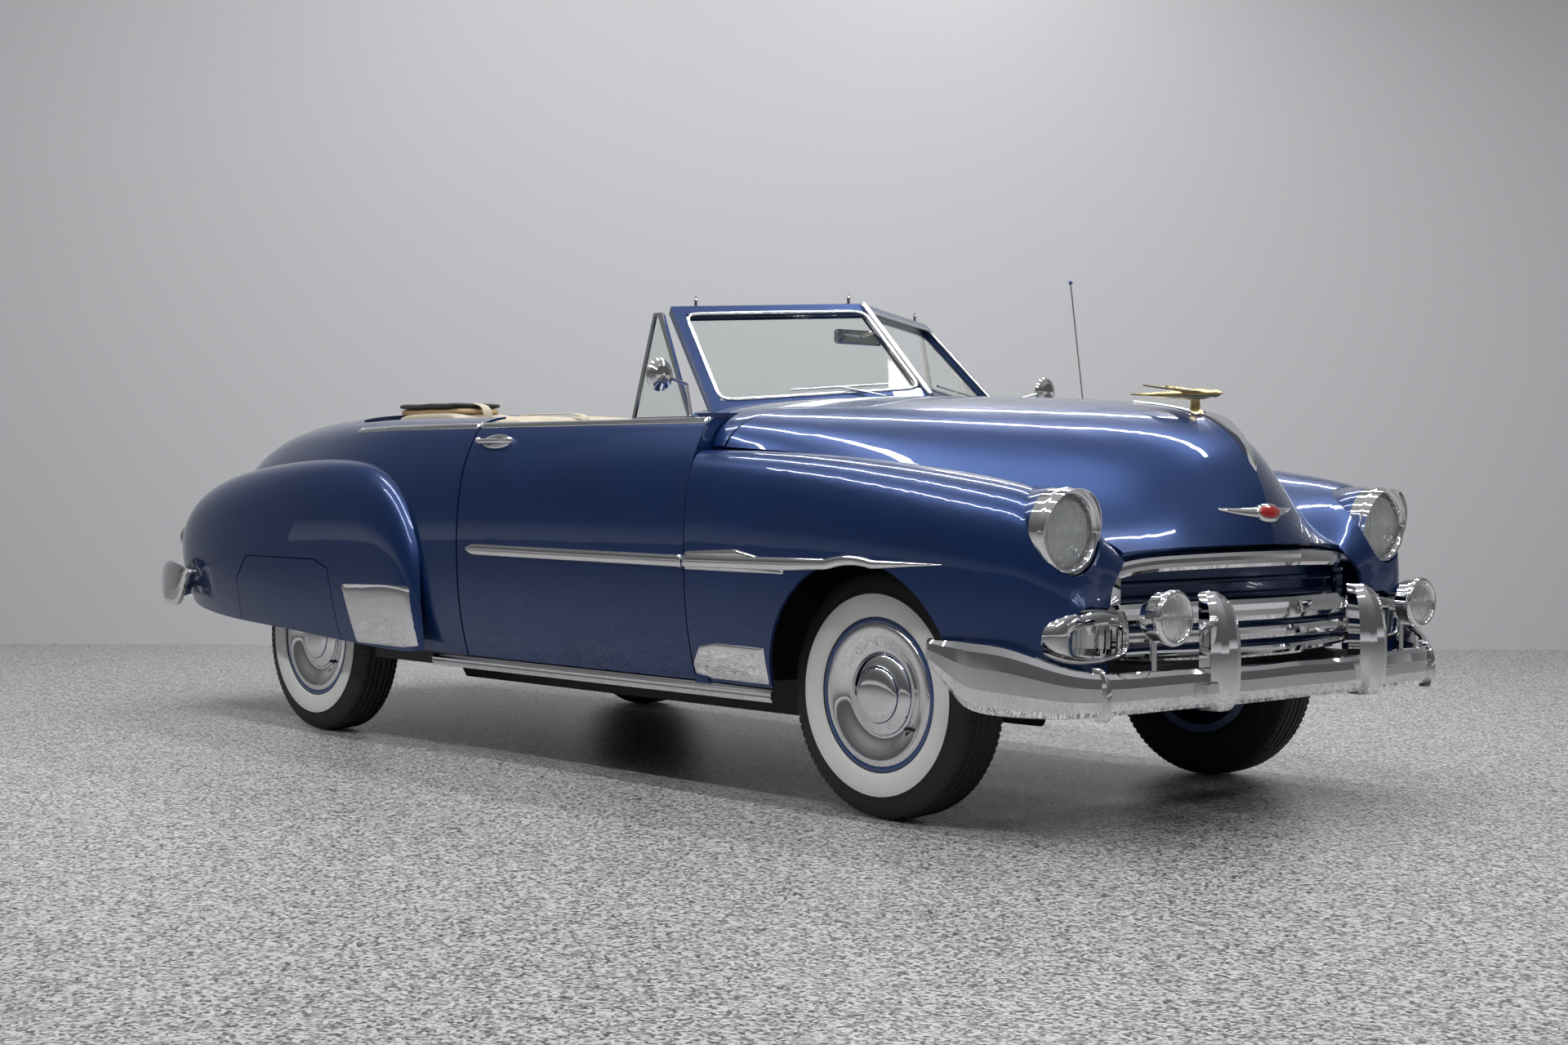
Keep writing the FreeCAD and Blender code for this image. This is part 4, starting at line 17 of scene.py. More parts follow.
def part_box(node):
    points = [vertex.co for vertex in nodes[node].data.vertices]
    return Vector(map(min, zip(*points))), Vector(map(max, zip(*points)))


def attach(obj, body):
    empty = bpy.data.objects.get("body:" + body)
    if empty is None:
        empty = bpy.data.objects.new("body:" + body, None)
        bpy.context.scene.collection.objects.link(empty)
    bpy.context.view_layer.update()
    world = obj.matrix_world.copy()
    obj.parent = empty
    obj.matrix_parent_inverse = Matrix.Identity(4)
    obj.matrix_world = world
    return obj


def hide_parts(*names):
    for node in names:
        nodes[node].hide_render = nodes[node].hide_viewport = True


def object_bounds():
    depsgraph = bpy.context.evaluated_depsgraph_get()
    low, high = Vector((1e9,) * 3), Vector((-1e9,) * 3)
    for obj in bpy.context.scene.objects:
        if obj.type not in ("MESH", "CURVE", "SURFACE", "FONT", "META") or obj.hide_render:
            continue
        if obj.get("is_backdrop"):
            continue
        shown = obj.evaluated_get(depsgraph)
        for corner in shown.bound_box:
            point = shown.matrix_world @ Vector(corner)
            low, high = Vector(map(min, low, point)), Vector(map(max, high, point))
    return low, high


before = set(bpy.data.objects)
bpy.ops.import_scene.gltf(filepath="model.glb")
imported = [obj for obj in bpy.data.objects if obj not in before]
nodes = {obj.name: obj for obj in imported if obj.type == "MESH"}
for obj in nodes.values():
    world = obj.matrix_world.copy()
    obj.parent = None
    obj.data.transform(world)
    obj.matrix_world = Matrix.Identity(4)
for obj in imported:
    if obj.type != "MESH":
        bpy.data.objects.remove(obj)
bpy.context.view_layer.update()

# %% [markdown]
# ## The camera
# The photograph was taken from the car's right front, a little under the height of the hood. A camera could
# be placed by eye, but then the sizes read off the picture would be guesses. The place, the turn and the
# focal length were worked out from the wheels' outlines and the ground line, and are written here as a
# point, three angles and a lens length.

# %% Camera
CAMERA_PLACE = (5.994, -5.1336, 0.9444)
CAMERA_YAW, CAMERA_PITCH, CAMERA_ROLL = (math.radians(v) for v in (137.4517, -1.1596, 0.2355))
SENSOR = 36.0
LENS = 51.212


def camera_axes(yaw, pitch, roll):
    """Right, up and backward unit vectors: forward from yaw and pitch, then right and up turned by roll."""
    forward = np.array([math.cos(yaw) * math.cos(pitch), math.sin(yaw) * math.cos(pitch), math.sin(pitch)])
    right = np.array([math.sin(yaw), -math.cos(yaw), 0.0])
    up = np.cross(right, forward)
    level_right = math.cos(roll) * right + math.sin(roll) * up
    level_up = math.cos(roll) * up - math.sin(roll) * right
    return level_right, level_up, -forward


def turned_to(axes, place):
    """The matrix of an object whose X, Y and Z point along three unit axes, moved to place."""
    matrix = np.eye(4)
    matrix[:3, :3] = np.transpose(axes)
    matrix[:3, 3] = place
    return Matrix(matrix.tolist())


camera_data = bpy.data.cameras.new("camera")
camera_data.sensor_width = SENSOR
camera_data.lens = LENS
camera = bpy.data.objects.new("camera", camera_data)
bpy.context.scene.collection.objects.link(camera)
camera.matrix_world = turned_to(camera_axes(CAMERA_YAW, CAMERA_PITCH, CAMERA_ROLL), CAMERA_PLACE)
bpy.context.scene.camera = camera
bpy.context.scene.view_settings.view_transform = "Standard"
print("camera at", CAMERA_PLACE, "lens", LENS)

# %% [markdown]
# ## Writing a shader as a sum
# A finish is mostly a small sum: noise times a depth, mixed between two colours. It could be built by hand
# in the shader editor, or by one call for every node and link. Two small classes keep it short instead. One
# wraps a socket, so that a plus or a times in Python adds one Math node. The other makes any other node from
# its type, its settings and the values of its sockets.


# %% Shader helpers
class Value:
    """One output socket that adds Math nodes when it is used in a sum."""

    def __init__(self, maker, socket):
        self.maker, self.socket = maker, socket

    def math(self, operation, *others, clamp=False):
        settings = {"operation": operation, "use_clamp": clamp}
        return self.maker.node("ShaderNodeMath", settings, dict(enumerate((self, *others))))

    def __add__(self, other):
        return self.math("ADD", other)

    def __sub__(self, other):
        return self.math("SUBTRACT", other)

    def __mul__(self, other):
        return self.math("MULTIPLY", other)

    __radd__ = __add__

    def clip(self):
        """The value held between 0 and 1."""
        return self.math("ADD", 0.0, clamp=True)

    def step(self, low, high):
        """0 at low and 1 at high, straight in between and held outside."""
        return ((self - low) * (1.0 / (high - low))).clip()


class NodeMaker:
    """Makes the nodes of one tree and joins their sockets."""

    def __init__(self, tree):
        self.tree = tree

    def plug(self, socket, value):
        """Links a Value, gives a colour of three parts its fourth, and sets any number."""
        if isinstance(value, Value):
            self.tree.links.new(value.socket, socket)
        else:
            socket.default_value = (*value, 1.0) if isinstance(value, tuple) else value

    def node(self, kind, settings=None, inputs=None, out=0):
        """A node with its settings made first, then its sockets given values or links."""
        made = self.tree.nodes.new(kind)
        for name, value in (settings or {}).items():
            if name == "stops":
                stops = made.color_ramp.elements
                while len(stops) < len(value):
                    stops.new(0.5)
                for stop, (place, colour) in zip(stops, value):
                    stop.position, stop.color = place, (*colour, 1.0)
            else:
                setattr(made, name, value)
        for name, value in (inputs or {}).items():
            self.plug(made.inputs[name], value)
        return Value(self, made.outputs[out])


# A Mix node has sockets of the same names for numbers, vectors and colours, so the colours' go by number
MIX_FACTOR, MIX_LOW, MIX_HIGH, MIX_RESULT = 0, 6, 7, 2


class Shader(NodeMaker):
    """A new material and its Principled shader, with the patterns that the finishes share."""

    def __init__(self, name, **base):
        self.material = bpy.data.materials.new(name)
        self.material.use_nodes = True
        super().__init__(self.material.node_tree)
        self.principled = self.tree.nodes["Principled BSDF"]
        self.set(**base)

    def set(self, **values):
        """Values or links for the Principled shader's sockets, with an underscore for each space."""
        for name, value in values.items():
            self.plug(self.principled.inputs[name.replace("_", " ")], value)
        return self

    def place(self):
        """The point on the piece in metres, the same as in the frame."""
        return self.node("ShaderNodeTexCoord", out="Object")

    def noise(self, scale, detail=2.0):
        """A cloudy value between 0 and 1, with scale clouds to a metre."""
        inputs = {"Vector": self.place(), "Scale": scale, "Detail": detail}
        return self.node("ShaderNodeTexNoise", None, inputs)

    def cells(self, scale, out="Distance"):
        """Random cells: the distance to the nearest one's middle, or its own random colour."""
        return self.node("ShaderNodeTexVoronoi", None, {"Vector": self.place(), "Scale": scale}, out=out)

    def colour(self, factor, low, high):
        """Mix of two colours by a value between 0 and 1."""
        inputs = {MIX_FACTOR: factor, MIX_LOW: low, MIX_HIGH: high}
        return self.node("ShaderNodeMix", {"data_type": "RGBA"}, inputs, out=MIX_RESULT)

    def bump(self, height, distance):
        """Relief of height times distance, in metres, felt by the light alone."""
        return self.set(Normal=self.node("ShaderNodeBump", None, {"Height": height, "Distance": distance}))


print("classes:", Value.__name__, NodeMaker.__name__, Shader.__name__)

# %% [markdown]
# ## Finishes
# The body is a deep metallic blue under a clear coat. Real paint has fine flakes that glint where they face
# the eye. Small random
# cells stand for them: each is painted lighter in the base colour whatever the light, so besides the flakes'
# own tone they carry a painted glint, and the coat gives the sharp reflections. A picture of paint would
# repeat on panels of this size, and a formula doesn't. Chrome is almost a mirror with a slightly uneven
# polish. Cast iron and underbody black are rough and cloudy.


# %% Paint
def paint_finish(name, dark, light):
    """Flakes, painted lighter as a fixed glint, and a slow cloud mix two blues, and a fine noise roughens
    them under a smooth coat.
    """
    shader = Shader(name, Metallic=0.55, Coat_Weight=0.85, Coat_Roughness=0.012, Coat_IOR=1.42)
    # Random small cells painted lighter: the flakes' tone together with a painted glint that does not follow
    # the light
    flake_glints = shader.cells(2600.0)
    cloud = shader.noise(3.0, 3.0)
    tone = (flake_glints * 0.8 + cloud * 0.5).clip()
    shader.set(Base_Color=shader.colour(tone, dark, light), Roughness=0.24 + shader.noise(900.0) * 0.10)
    return shader.material


body_blue = paint_finish("body_blue", (0.0030, 0.0170, 0.072), (0.0062, 0.040, 0.165))
rim_blue = Shader("rim_blue", Base_Color=(0.012, 0.05, 0.17), Roughness=0.22, Coat_Weight=1.0,
                  Coat_Roughness=0.02).material
print("paints:", body_blue.name, rim_blue.name)


# %% Chrome, gilding and glass
def metal_finish(name, colour, roughness):
    """A bright metal whose roughness grows by up to three fifths in smears."""
    shader = Shader(name, Base_Color=colour, Metallic=1.0)
    return shader.set(Roughness=roughness + shader.noise(40.0, 4.0) * roughness * 0.6).material


chrome = metal_finish("chrome", (0.83, 0.83, 0.84), 0.035)
gold_plate = metal_finish("gold_plate", (0.72, 0.55, 0.26), 0.14)
window_glass = Shader("window_glass", Base_Color=(0.93, 0.97, 0.95), Roughness=0.0, IOR=1.45,
                      Transmission_Weight=1.0).material
print("bright finishes:", chrome.name, gold_plate.name, window_glass.name)


# %% Black and iron
def dull_finish(name, dark, light, roughness, scale):
    """One cloud mixes two dark colours, adds to the roughness and gives a relief of 0.4 mm."""
    shader = Shader(name)
    cloud = shader.noise(scale, 5.0)
    shader.set(Base_Color=shader.colour(cloud.clip(), dark, light), Roughness=roughness + cloud * 0.15)
    return shader.bump(cloud, 0.0004).material


underbody_black = dull_finish("underbody_black", (0.006, 0.006, 0.006), (0.022, 0.021, 0.020), 0.45, 30.0)
cast_iron = dull_finish("cast_iron", (0.03, 0.028, 0.026), (0.07, 0.06, 0.05), 0.6, 80.0)
print("finishes:", len(bpy.data.materials))

# %% [markdown]
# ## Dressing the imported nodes
# A node whose shape is already right only needs a finish. It could be copied and painted as a new piece, but
# then two pieces would have to be kept alike. So the finish goes into the node itself.

# %% Give the nodes their finishes
WEARS = {
    body_blue: ("door_left", "door_right", "trunk_lid", "rear_body", "rear_fenders", "fender_skirts",
                "front_fenders", "cowl", "hood", "dashboard", "windshield_frame", "splash_panel",
                "wheel_fl", "wheel_fr", "wheel_rl", "wheel_rr"),
    chrome: ("front_bumper", "rear_bumper", "headlamps", "fog_lamps", "grille", "door_trim_left",
             "door_trim_right", "screen_fittings", "hood_ornament"),
    window_glass: ("windshield_glass", "vent_glass_left", "vent_glass_right"),
    underbody_black: ("door_hinges", "radiator", "fuel_tank", "suspension", "chassis", "rear_frame",
                      "floor_tub", "steering_column"),
    cast_iron: ("knuckle_left", "knuckle_right", "rear_axle", "engine", "exhaust"),
}


def wear(finish, *names):
    """One finish for each of the named nodes."""
    for name in names:
        mesh = nodes[name].data
        mesh.materials.clear()
        mesh.materials.append(finish)


for finish, names in WEARS.items():
    wear(finish, *names)
print("dressed:", sum(len(names) for names in WEARS.values()), "nodes")

# %% [markdown]
# ## Making a surface
# Every new piece below is a grid of points worked out with numpy and joined by four-sided faces. Boxes and
# modifiers could rough most of them out, but a formula follows the solid panels exactly and can be changed
# by one number. A grid can close on itself either way, and one piece can hold several grids.


# %% Grid helpers
def surface(x, y, z):
    """Points from three coordinates, each spread over the whole grid."""
    return np.stack(np.broadcast_arrays(x, y, z), axis=-1)


def full_turn(count):
    """Angles evenly spaced round a circle, without the last that would repeat the first."""
    return np.linspace(0.0, 2.0 * np.pi, count, endpoint=False)


def bent(wave, power):
    """A wave with its sign kept and its size raised to a power, which squares off its rounds."""
    return np.sign(wave) * np.abs(wave) ** power


def closed_ends(grid, shares=(0.0,), hubs=None):
    """A tube's rings with the end ones shrunk by shares, from 0 outwards, towards their middles or hubs."""
    first, last = hubs if hubs is not None else (grid[0].mean(0), grid[-1].mean(0))
    shares = np.array(shares)[:, None, None]
    drawn_first, drawn_last = first + (grid[0] - first) * shares, last + (grid[-1] - last) * shares[::-1]
    return np.concatenate([drawn_first, grid, drawn_last])


def grid_faces(rows, columns, close_rows=False, close_columns=False, start=0):
    """Quads between neighbouring points of a rows x columns grid, numbered row by row from start."""
    r = np.arange(rows if close_rows else rows - 1)
    c = np.arange(columns if close_columns else columns - 1)
    r, c = (v.ravel() for v in np.meshgrid(r, c, indexing="ij"))
    r2, c2 = (r + 1) % rows, (c + 1) % columns
    return start + np.stack([r * columns + c, r * columns + c2, r2 * columns + c2, r2 * columns + c], axis=1)


def make_piece(name, body, grids, finish):
    """One mesh object from a list of (points, close_rows, close_columns), riding on a body."""
    points, faces, count = [], [], 0
    for grid, close_rows, close_columns in grids:
        rows, columns = grid.shape[:2]
        faces.append(grid_faces(rows, columns, close_rows, close_columns, count))
        points.append(grid.reshape(-1, 3))
        count += rows * columns
    mesh = bpy.data.meshes.new(name)
    mesh.from_pydata(np.concatenate(points).tolist(), [], np.concatenate(faces).tolist())
    mesh.polygons.foreach_set("use_smooth", np.full(len(mesh.polygons), True))
    mesh.materials.append(finish)
    piece = bpy.data.objects.new(name, mesh)
    bpy.context.scene.collection.objects.link(piece)
    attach(piece, body)
    return piece


def turned(profile, count, centre, side):
    """A profile of (out from the axle, radius) turned about an axle that runs along Y through centre."""
    out, radius = np.transpose(profile)
    angle = full_turn(count)[:, None]
    return surface(centre[0] + radius * np.sin(angle), centre[1] + out * side,
                   centre[2] + radius * np.cos(angle) * side)


print("faces of a closed 4 x 6 tube:", len(grid_faces(4, 6, close_columns=True)))

# %% [markdown]
# ## Tyres
# A tyre's wall is a wide white band between two black ones, with a low rib at each edge of the white. The
# tread has five grooves that run round it and small cuts across the shoulders. Blocks could be copied round
# a plain ring, but moulded rubber has no seams. So the whole tyre is one profile turned about the axle, and
# the cuts come from pushing the shoulder points inwards as the angle passes each of them.


# %% Rubber finishes
def tyre_finish(name, dark, light, depth):
    """A cloud mixes two tones and adds to the roughness, over a relief of fine grains."""
    shader = Shader(name)
    cloud = shader.noise(45.0, 6.0)
    shader.set(Base_Color=shader.colour(cloud.clip(), dark, light), Roughness=0.55 + cloud * 0.2)
    return shader.bump(shader.noise(700.0, 2.0), depth).material


black_rubber = tyre_finish("black_rubber", (0.008, 0.008, 0.008), (0.020, 0.020, 0.021), 0.0002)
white_rubber = tyre_finish("white_rubber", (0.72, 0.72, 0.70), (0.82, 0.82, 0.80), 0.0001)
print("rubber:", black_rubber.name, white_rubber.name)

# %% Tyre shape
WHEELS = {"fl": ("front_left_wheel", 1.0), "fr": ("front_right_wheel", -1.0),
          "rl": ("rear_left_wheel", 1.0), "rr": ("rear_right_wheel", -1.0)}
# Half of the wall as (out from the middle, radius); the white band lies between two ribs
WALL = [(0.0615, 0.1965), (0.0690, 0.2040), (0.0745, 0.2130), (0.0765, 0.2160), (0.0800, 0.2185),
        (0.0838, 0.2300), (0.0868, 0.2450), (0.0880, 0.2600), (0.0873, 0.2740), (0.0858, 0.2795),
        (0.0862, 0.2815), (0.0862, 0.2840), (0.0845, 0.2860), (0.0820, 0.2950), (0.0785, 0.3100),
        (0.0745, 0.3220), (0.0715, 0.3300)]
WHITE_FROM, WHITE_TO = 3, 9
# The tread as (out, depth below the crown)
RIBS = [(0.0680, 0.0085), (0.0640, 0.0052), (0.0560, 0.0030), (0.0470, 0.0020), (0.0462, 0.0090),
        (0.0420, 0.0090), (0.0412, 0.0015), (0.0250, 0.0006), (0.0242, 0.0085), (0.0205, 0.0085),
        (0.0197, 0.0004), (0.0045, 0.0), (0.0037, 0.0080)]
TYRE_RADIUS = 0.346
TREAD_TURN = 384
CUT_EVERY, CUT_DEPTH = 4, 0.006
# The shoulder's reach out from the middle, and the radius that parts it from the wall
SHOULDER_FROM, SHOULDER_TO, SHOULDER_ROOT = 0.048, 0.072, 0.325


def wheel_centre(name):
    """The middle of a node's box."""
    low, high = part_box(name)
    return [(a + b) / 2 for a, b in zip(low, high)]


def tyre_grid(centre, side):
    """The closed tyre: wall, tread, wall, and the bead side behind, with cuts across both shoulders."""
    half = WALL + [(out, TYRE_RADIUS - depth) for out, depth in RIBS]
    profile = np.array(half + [(-out, radius) for out, radius in reversed(half)])
    grid = turned(profile, TREAD_TURN, centre, side)
    out, radius = np.abs(profile[:, 0]), profile[:, 1]
    shoulder = (out > SHOULDER_FROM) & (out < SHOULDER_TO) & (radius > SHOULDER_ROOT)
    cut = np.arange(TREAD_TURN)[:, None] % CUT_EVERY == 0
    depth = np.where(cut & shoulder, CUT_DEPTH, 0.0)
    spoke = (grid - np.array(centre)) * (1.0, 0.0, 1.0)
    return grid - spoke / np.linalg.norm(spoke, axis=-1, keepdims=True) * depth[..., None]


tyre_columns = 2 * (len(WALL) + len(RIBS))
for corner, (body, side) in WHEELS.items():
    node = "tyre_" + corner
    grid = tyre_grid(wheel_centre(node), side)
    tyre = make_piece("tyre_tread_" + corner, body, [(grid, True, True)], black_rubber)
    tyre.data.materials.append(white_rubber)
    column = np.arange(len(tyre.data.polygons)) % tyre_columns
    white = (column >= WHITE_FROM) & (column < WHITE_TO)
    tyre.data.polygons.foreach_set("material_index", white.astype(int))
    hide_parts(node)
print("tyres:", TREAD_TURN * tyre_columns, "points each")

# %% [markdown]
# ## Strips and plates that lie on the panels
# Chrome strips are rolled or pressed to follow the panels that they are screwed to. A straight bar would
# stand off a curved door and sink into a fender. Instead, a path is drawn in side view, each of its points
# is thrown sideways onto the solid panel, and a low arched section is set on the point along the panel's own
# normal. The width can change along the path, which makes a spear.

# %% Points on the solid panels
SIDES = (("left", 1.0), ("right", -1.0))
FRONT_AXLE = round(wheel_centre("tyre_fr")[0], 4)
# Lines are thrown from beside the car, from above the hood and from ahead of the bumper
BESIDE, ABOVE, AHEAD = 1.3, 1.6, 3.0
DOWN, BACK = (0.0, 0.0, -1.0), (-1.0, 0.0, 0.0)
# How deep a line is taken to go if it is the first and misses
FIRST_DEPTH = 0.4


def on_side(place, way):
    """A place given as ahead of the front axle, out and up, on the left or the right side."""
    return FRONT_AXLE + place[0], way * place[1], place[2]


def tree_of(*names):
    """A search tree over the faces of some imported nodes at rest."""
    points, faces, count = [], [], 0
    for name in names:
        piece = nodes[name]
        points += [piece.matrix_world @ vertex.co for vertex in piece.data.vertices]
        faces += [[index + count for index in face.vertices] for face in piece.data.polygons]
        count = len(points)
    return BVHTree.FromPolygons(points, faces)


def thrown(tree, starts, way):
    """Where lines from starts along way first meet the tree, with unit normals that face the start.

    A line that misses takes the panel's nearest point to it, as deep as the line before it went.
    """
    places, normals = [], []
    way = Vector(way)
    for start in map(Vector, starts):
        place, normal, _, _ = tree.ray_cast(start, way)
        if place is None:
            depth = way.dot(Vector(places[-1]) - start) if places else FIRST_DEPTH
            place, _, _, _ = tree.find_nearest(start + way * depth)
            normal = Vector(normals[-1]) if normals else -way
        if normal.dot(way) > 0:
            normal = -normal
        places.append(place[:])
        normals.append(normal[:])
    return np.array(places), np.array(normals)


door_tree = {side: tree_of("door_" + side) for side, _ in SIDES}
quarter_tree = tree_of("rear_body")
fender_tree = tree_of("front_fenders")
rear_fender_tree = tree_of("rear_fenders")
hood_tree = tree_of("hood")
front_tree = tree_of("front_fenders", "grille")
print("front axle at", FRONT_AXLE)

# %% Strips and plates
STRIP_STEP, STRIP_SINK = 0.012, 0.0015
# The power of the sine that arches a strip: below 1 it is fuller than round
ARCH_POWER = 0.6
SPEAR_FADE = 1.6
RIB_PITCH = 0.028
# A plate's points along and up, the steps over which its edge comes down, and how deep it is sunk
PLATE_COUNT, PLATE_ROWS, PLATE_EDGE, PLATE_SINK = 40, 16, 1.5, 0.0006


def even_path(points, count):
    """Count points along a polyline, evenly spaced by its length."""
    points = np.array(points, float)
    steps = np.r_[0.0, np.cumsum(np.linalg.norm(np.diff(points, axis=0), axis=1))]
    where = np.linspace(0.0, steps[-1], count)
    return np.stack([np.interp(where, steps, column) for column in points.T], axis=1)


def eased(values):
    """The running mean of five rows, with the end rows repeated."""
    padded = np.pad(values, ((2, 2), (0, 0)), "edge")
    return np.stack([np.convolve(column, np.ones(5) / 5, "valid") for column in padded.T], axis=1)


def unit(values):
    """Each row shortened or stretched to a length of 1."""
    return values / np.linalg.norm(values, axis=1, keepdims=True)


def arched(places, normals, half_width, height, sink):
    """A closed strip: half width times cos and height times a power of sin across, with its foot sunk in."""
    along = unit(np.gradient(places, axis=0))
    normals = unit(eased(normals))[:, None]
    across = np.cross(normals, along[:, None])
    angle = np.linspace(0.0, np.pi, 9)[None, :, None]
    half_width = np.broadcast_to(half_width, len(places))[:, None, None]
    height = np.broadcast_to(height, len(places))[:, None, None]
    arch = np.sin(angle) ** ARCH_POWER * height
    top = places[:, None] + across * (np.cos(angle) * half_width) + normals * arch
    foot = places[:, None] + across * (np.cos(angle[:, ::-1]) * half_width) - normals * sink
    return closed_ends(np.concatenate([top, foot], axis=1))


def strip_piece(name, body, line, half_width, height, finish=chrome, sink=STRIP_SINK):
    """An arched strip along a line of places with their normals."""
    return make_piece(name, body, [(arched(*line, half_width, height, sink), False, True)], finish)


def side_strip(name, body, tree, path, side, height):
    """A strip along a path of (ahead of the front axle, up, half width) on one side of the car.

    Where the strip narrows below 1 / 1.6 of its widest, its height shrinks with it.
    """
    path = np.array(path, float)
    length = np.linalg.norm(np.diff(path[:, :2], axis=0), axis=1).sum()
    ahead, up, half_width = even_path(path, max(12, int(length / STRIP_STEP))).T
    line = thrown(tree, surface(FRONT_AXLE + ahead, BESIDE * side, up), (0.0, -side, 0.0))
    rise = height * np.minimum(1.0, half_width / half_width.max() * SPEAR_FADE)
    return strip_piece(name, body, line, half_width, rise)


def plate_patch(name, body, tree, lower, upper, side, lift, ribs=0.0):
    """A thin plate between two edges drawn in side view, laid on the panel.

    It stands off the panel by lift plus ribs times the cosine of its height, and less at its edges.
    """
    low, high = even_path(lower, PLATE_COUNT), even_path(upper, PLATE_COUNT)
    share = np.linspace(0.0, 1.0, PLATE_ROWS)[None, :, None]
    flat = low[:, None] * (1 - share) + high[:, None] * share
    starts = surface(FRONT_AXLE + flat[..., 0], BESIDE * side, flat[..., 1])
    places, normals = thrown(tree, starts.reshape(-1, 3), (0.0, -side, 0.0))
    wave = ribs * np.cos(flat[..., 1] * 2 * np.pi / RIB_PITCH)
    steps, layers = np.arange(PLATE_COUNT)[:, None], np.arange(PLATE_ROWS)[None]
    steps, layers = np.minimum(steps, PLATE_COUNT - 1 - steps), np.minimum(layers, PLATE_ROWS - 1 - layers)
    edge = np.clip(np.minimum(steps, layers) / PLATE_EDGE, 0, 1)
    stand = ((lift + wave) * edge - PLATE_SINK).reshape(-1, 1)
    return make_piece(name, body, [((places + normals * stand).reshape(starts.shape), False, False)], chrome)


print("points of a straight strip a metre long:", len(even_path([(0, 0), (1, 0)], int(1 / STRIP_STEP))))

# %% Belt moulding, spears and guards
BELT, BELT_RISE = 0.013, 0.007
SPEAR, SPEAR_RISE = 0.019, 0.011
for side, way in SIDES:
    door = "door_" + side
    side_strip("belt_door_" + side, door, door_tree[side],
               [(-0.722, 1.114, BELT), (-1.888, 1.114, BELT)], way, BELT_RISE)
    side_strip("belt_quarter_" + side, "car_body", quarter_tree,
               [(-1.904, 1.114, BELT), (-2.45, 1.114, BELT), (-2.72, 1.108, BELT)], way, BELT_RISE)
    side_strip("spear_door_" + side, door, door_tree[side],
               [(-0.722, 0.696, SPEAR), (-1.80, 0.702, SPEAR), (-1.852, 0.703, 0.002)], way, SPEAR_RISE)
    side_strip("spear_fender_" + side, "car_body", fender_tree,
               [(-0.710, 0.697, SPEAR), (-0.25, 0.702, SPEAR), (0.10, 0.712, 0.012), (0.344, 0.718, 0.001)],
               way, SPEAR_RISE)
    plate_patch("spear_plate_" + side, "car_body", fender_tree, [(-0.706, 0.672), (-0.262, 0.672)],
                [(-0.706, 0.726), (-0.470, 0.738), (-0.262, 0.700)], way, 0.005, ribs=0.0006)
    plate_patch("stone_guard_" + side, "car_body", fender_tree, [(-0.712, 0.350), (-0.366, 0.350)],
                [(-0.712, 0.386), (-0.664, 0.448), (-0.590, 0.461), (-0.366, 0.459)], way, 0.003)
    plate_patch("gravel_guard_" + side, "car_body", rear_fender_tree,
                [(-2.112, 0.358), (-2.200, 0.350), (-2.490, 0.352)],
                [(-2.132, 0.572), (-2.300, 0.570), (-2.560, 0.564)], way, 0.003, ribs=0.0008)
print("strips and guards on", len(SIDES), "sides")

# %% Rocker moulding
ROCKER_FRONT, ROCKER_REAR = -0.372, -2.10
ROCKER_TOP, ROCKER_DROP, ROCKER_OUT = 0.338, 0.040, 0.846
ROCKER_ARCH, ROCKER_RIB, ROCKER_RIBS = 0.010, 0.002, 3
rocker_along = FRONT_AXLE + np.linspace(ROCKER_FRONT, ROCKER_REAR, 220)[:, None]
# Across the pressed strip: an arch outwards with three small ribs on it
share = np.linspace(0.0, 1.0, 15)[None]
rocker_out = (ROCKER_OUT + ROCKER_ARCH * np.sin(np.pi * share) ** 0.5
              + ROCKER_RIB * np.cos(share * 2 * np.pi * ROCKER_RIBS))
for side, way in SIDES:
    rocker = surface(rocker_along, way * rocker_out, ROCKER_TOP - ROCKER_DROP * share)
    make_piece("rocker_" + side, "car_body", [(rocker, False, False)], chrome)
print("rocker mouldings:", round(ROCKER_FRONT - ROCKER_REAR, 3), "m long")

# %% [markdown]
# ## Hood trim
# A strip runs along the crease of the nose, and an emblem lies across the nose below it. Both are thrown
# onto the hood like the side strips, so they follow its curve. The gilt figure is a casting on a thin foot.
# It could be sculpted, but a turned body and two swept wings give its outline with a few numbers.

# %% Crease strip and emblem
CREASE_FROM, CREASE_TO = 0.25, 0.46
WING_HALF, WING_HEIGHT, WING_RISE = 0.165, 0.852, 0.010
# The wing's half width and height at its tips, and what they grow by towards its middle
TIP_WIDE, TIP_HIGH, GROW_WIDE, GROW_HIGH = 0.003, 0.004, 0.013, 0.006
crease_ahead = FRONT_AXLE + np.linspace(CREASE_FROM, CREASE_TO, 40)
crease_line = thrown(hood_tree, surface(crease_ahead, 0.0, ABOVE), DOWN)
strip_piece("crease_strip", "hood", crease_line, half_width=0.008, height=0.006)
wing_y = np.linspace(-WING_HALF, WING_HALF, 80)
wing_share = np.abs(wing_y / WING_HALF)
places, normals = thrown(hood_tree, surface(AHEAD, wing_y, WING_HEIGHT + WING_RISE * wing_share ** 2), BACK)
taper = 1 - wing_share ** 1.6
strip_piece("emblem_wing", "hood", (places, normals), TIP_WIDE + GROW_WIDE * taper,
            TIP_HIGH + GROW_HIGH * taper)
red_enamel = Shader("red_enamel", Base_Color=(0.35, 0.012, 0.010), Roughness=0.18, Coat_Weight=0.8).material
for name, reach, tall, rise, finish in (("emblem_rim", 0.050, 0.027, 0.0125, chrome),
                                        ("emblem_centre", 0.044, 0.0215, 0.0150, red_enamel)):
    inner = np.abs(wing_y) < reach
    bulge = tall * (1.0 - np.abs(wing_y[inner] / reach) ** 3) ** 0.5
    strip_piece(name, "hood", (places[inner], normals[inner]), bulge, rise, finish)
print("emblem", 2 * WING_HALF, "m wide")

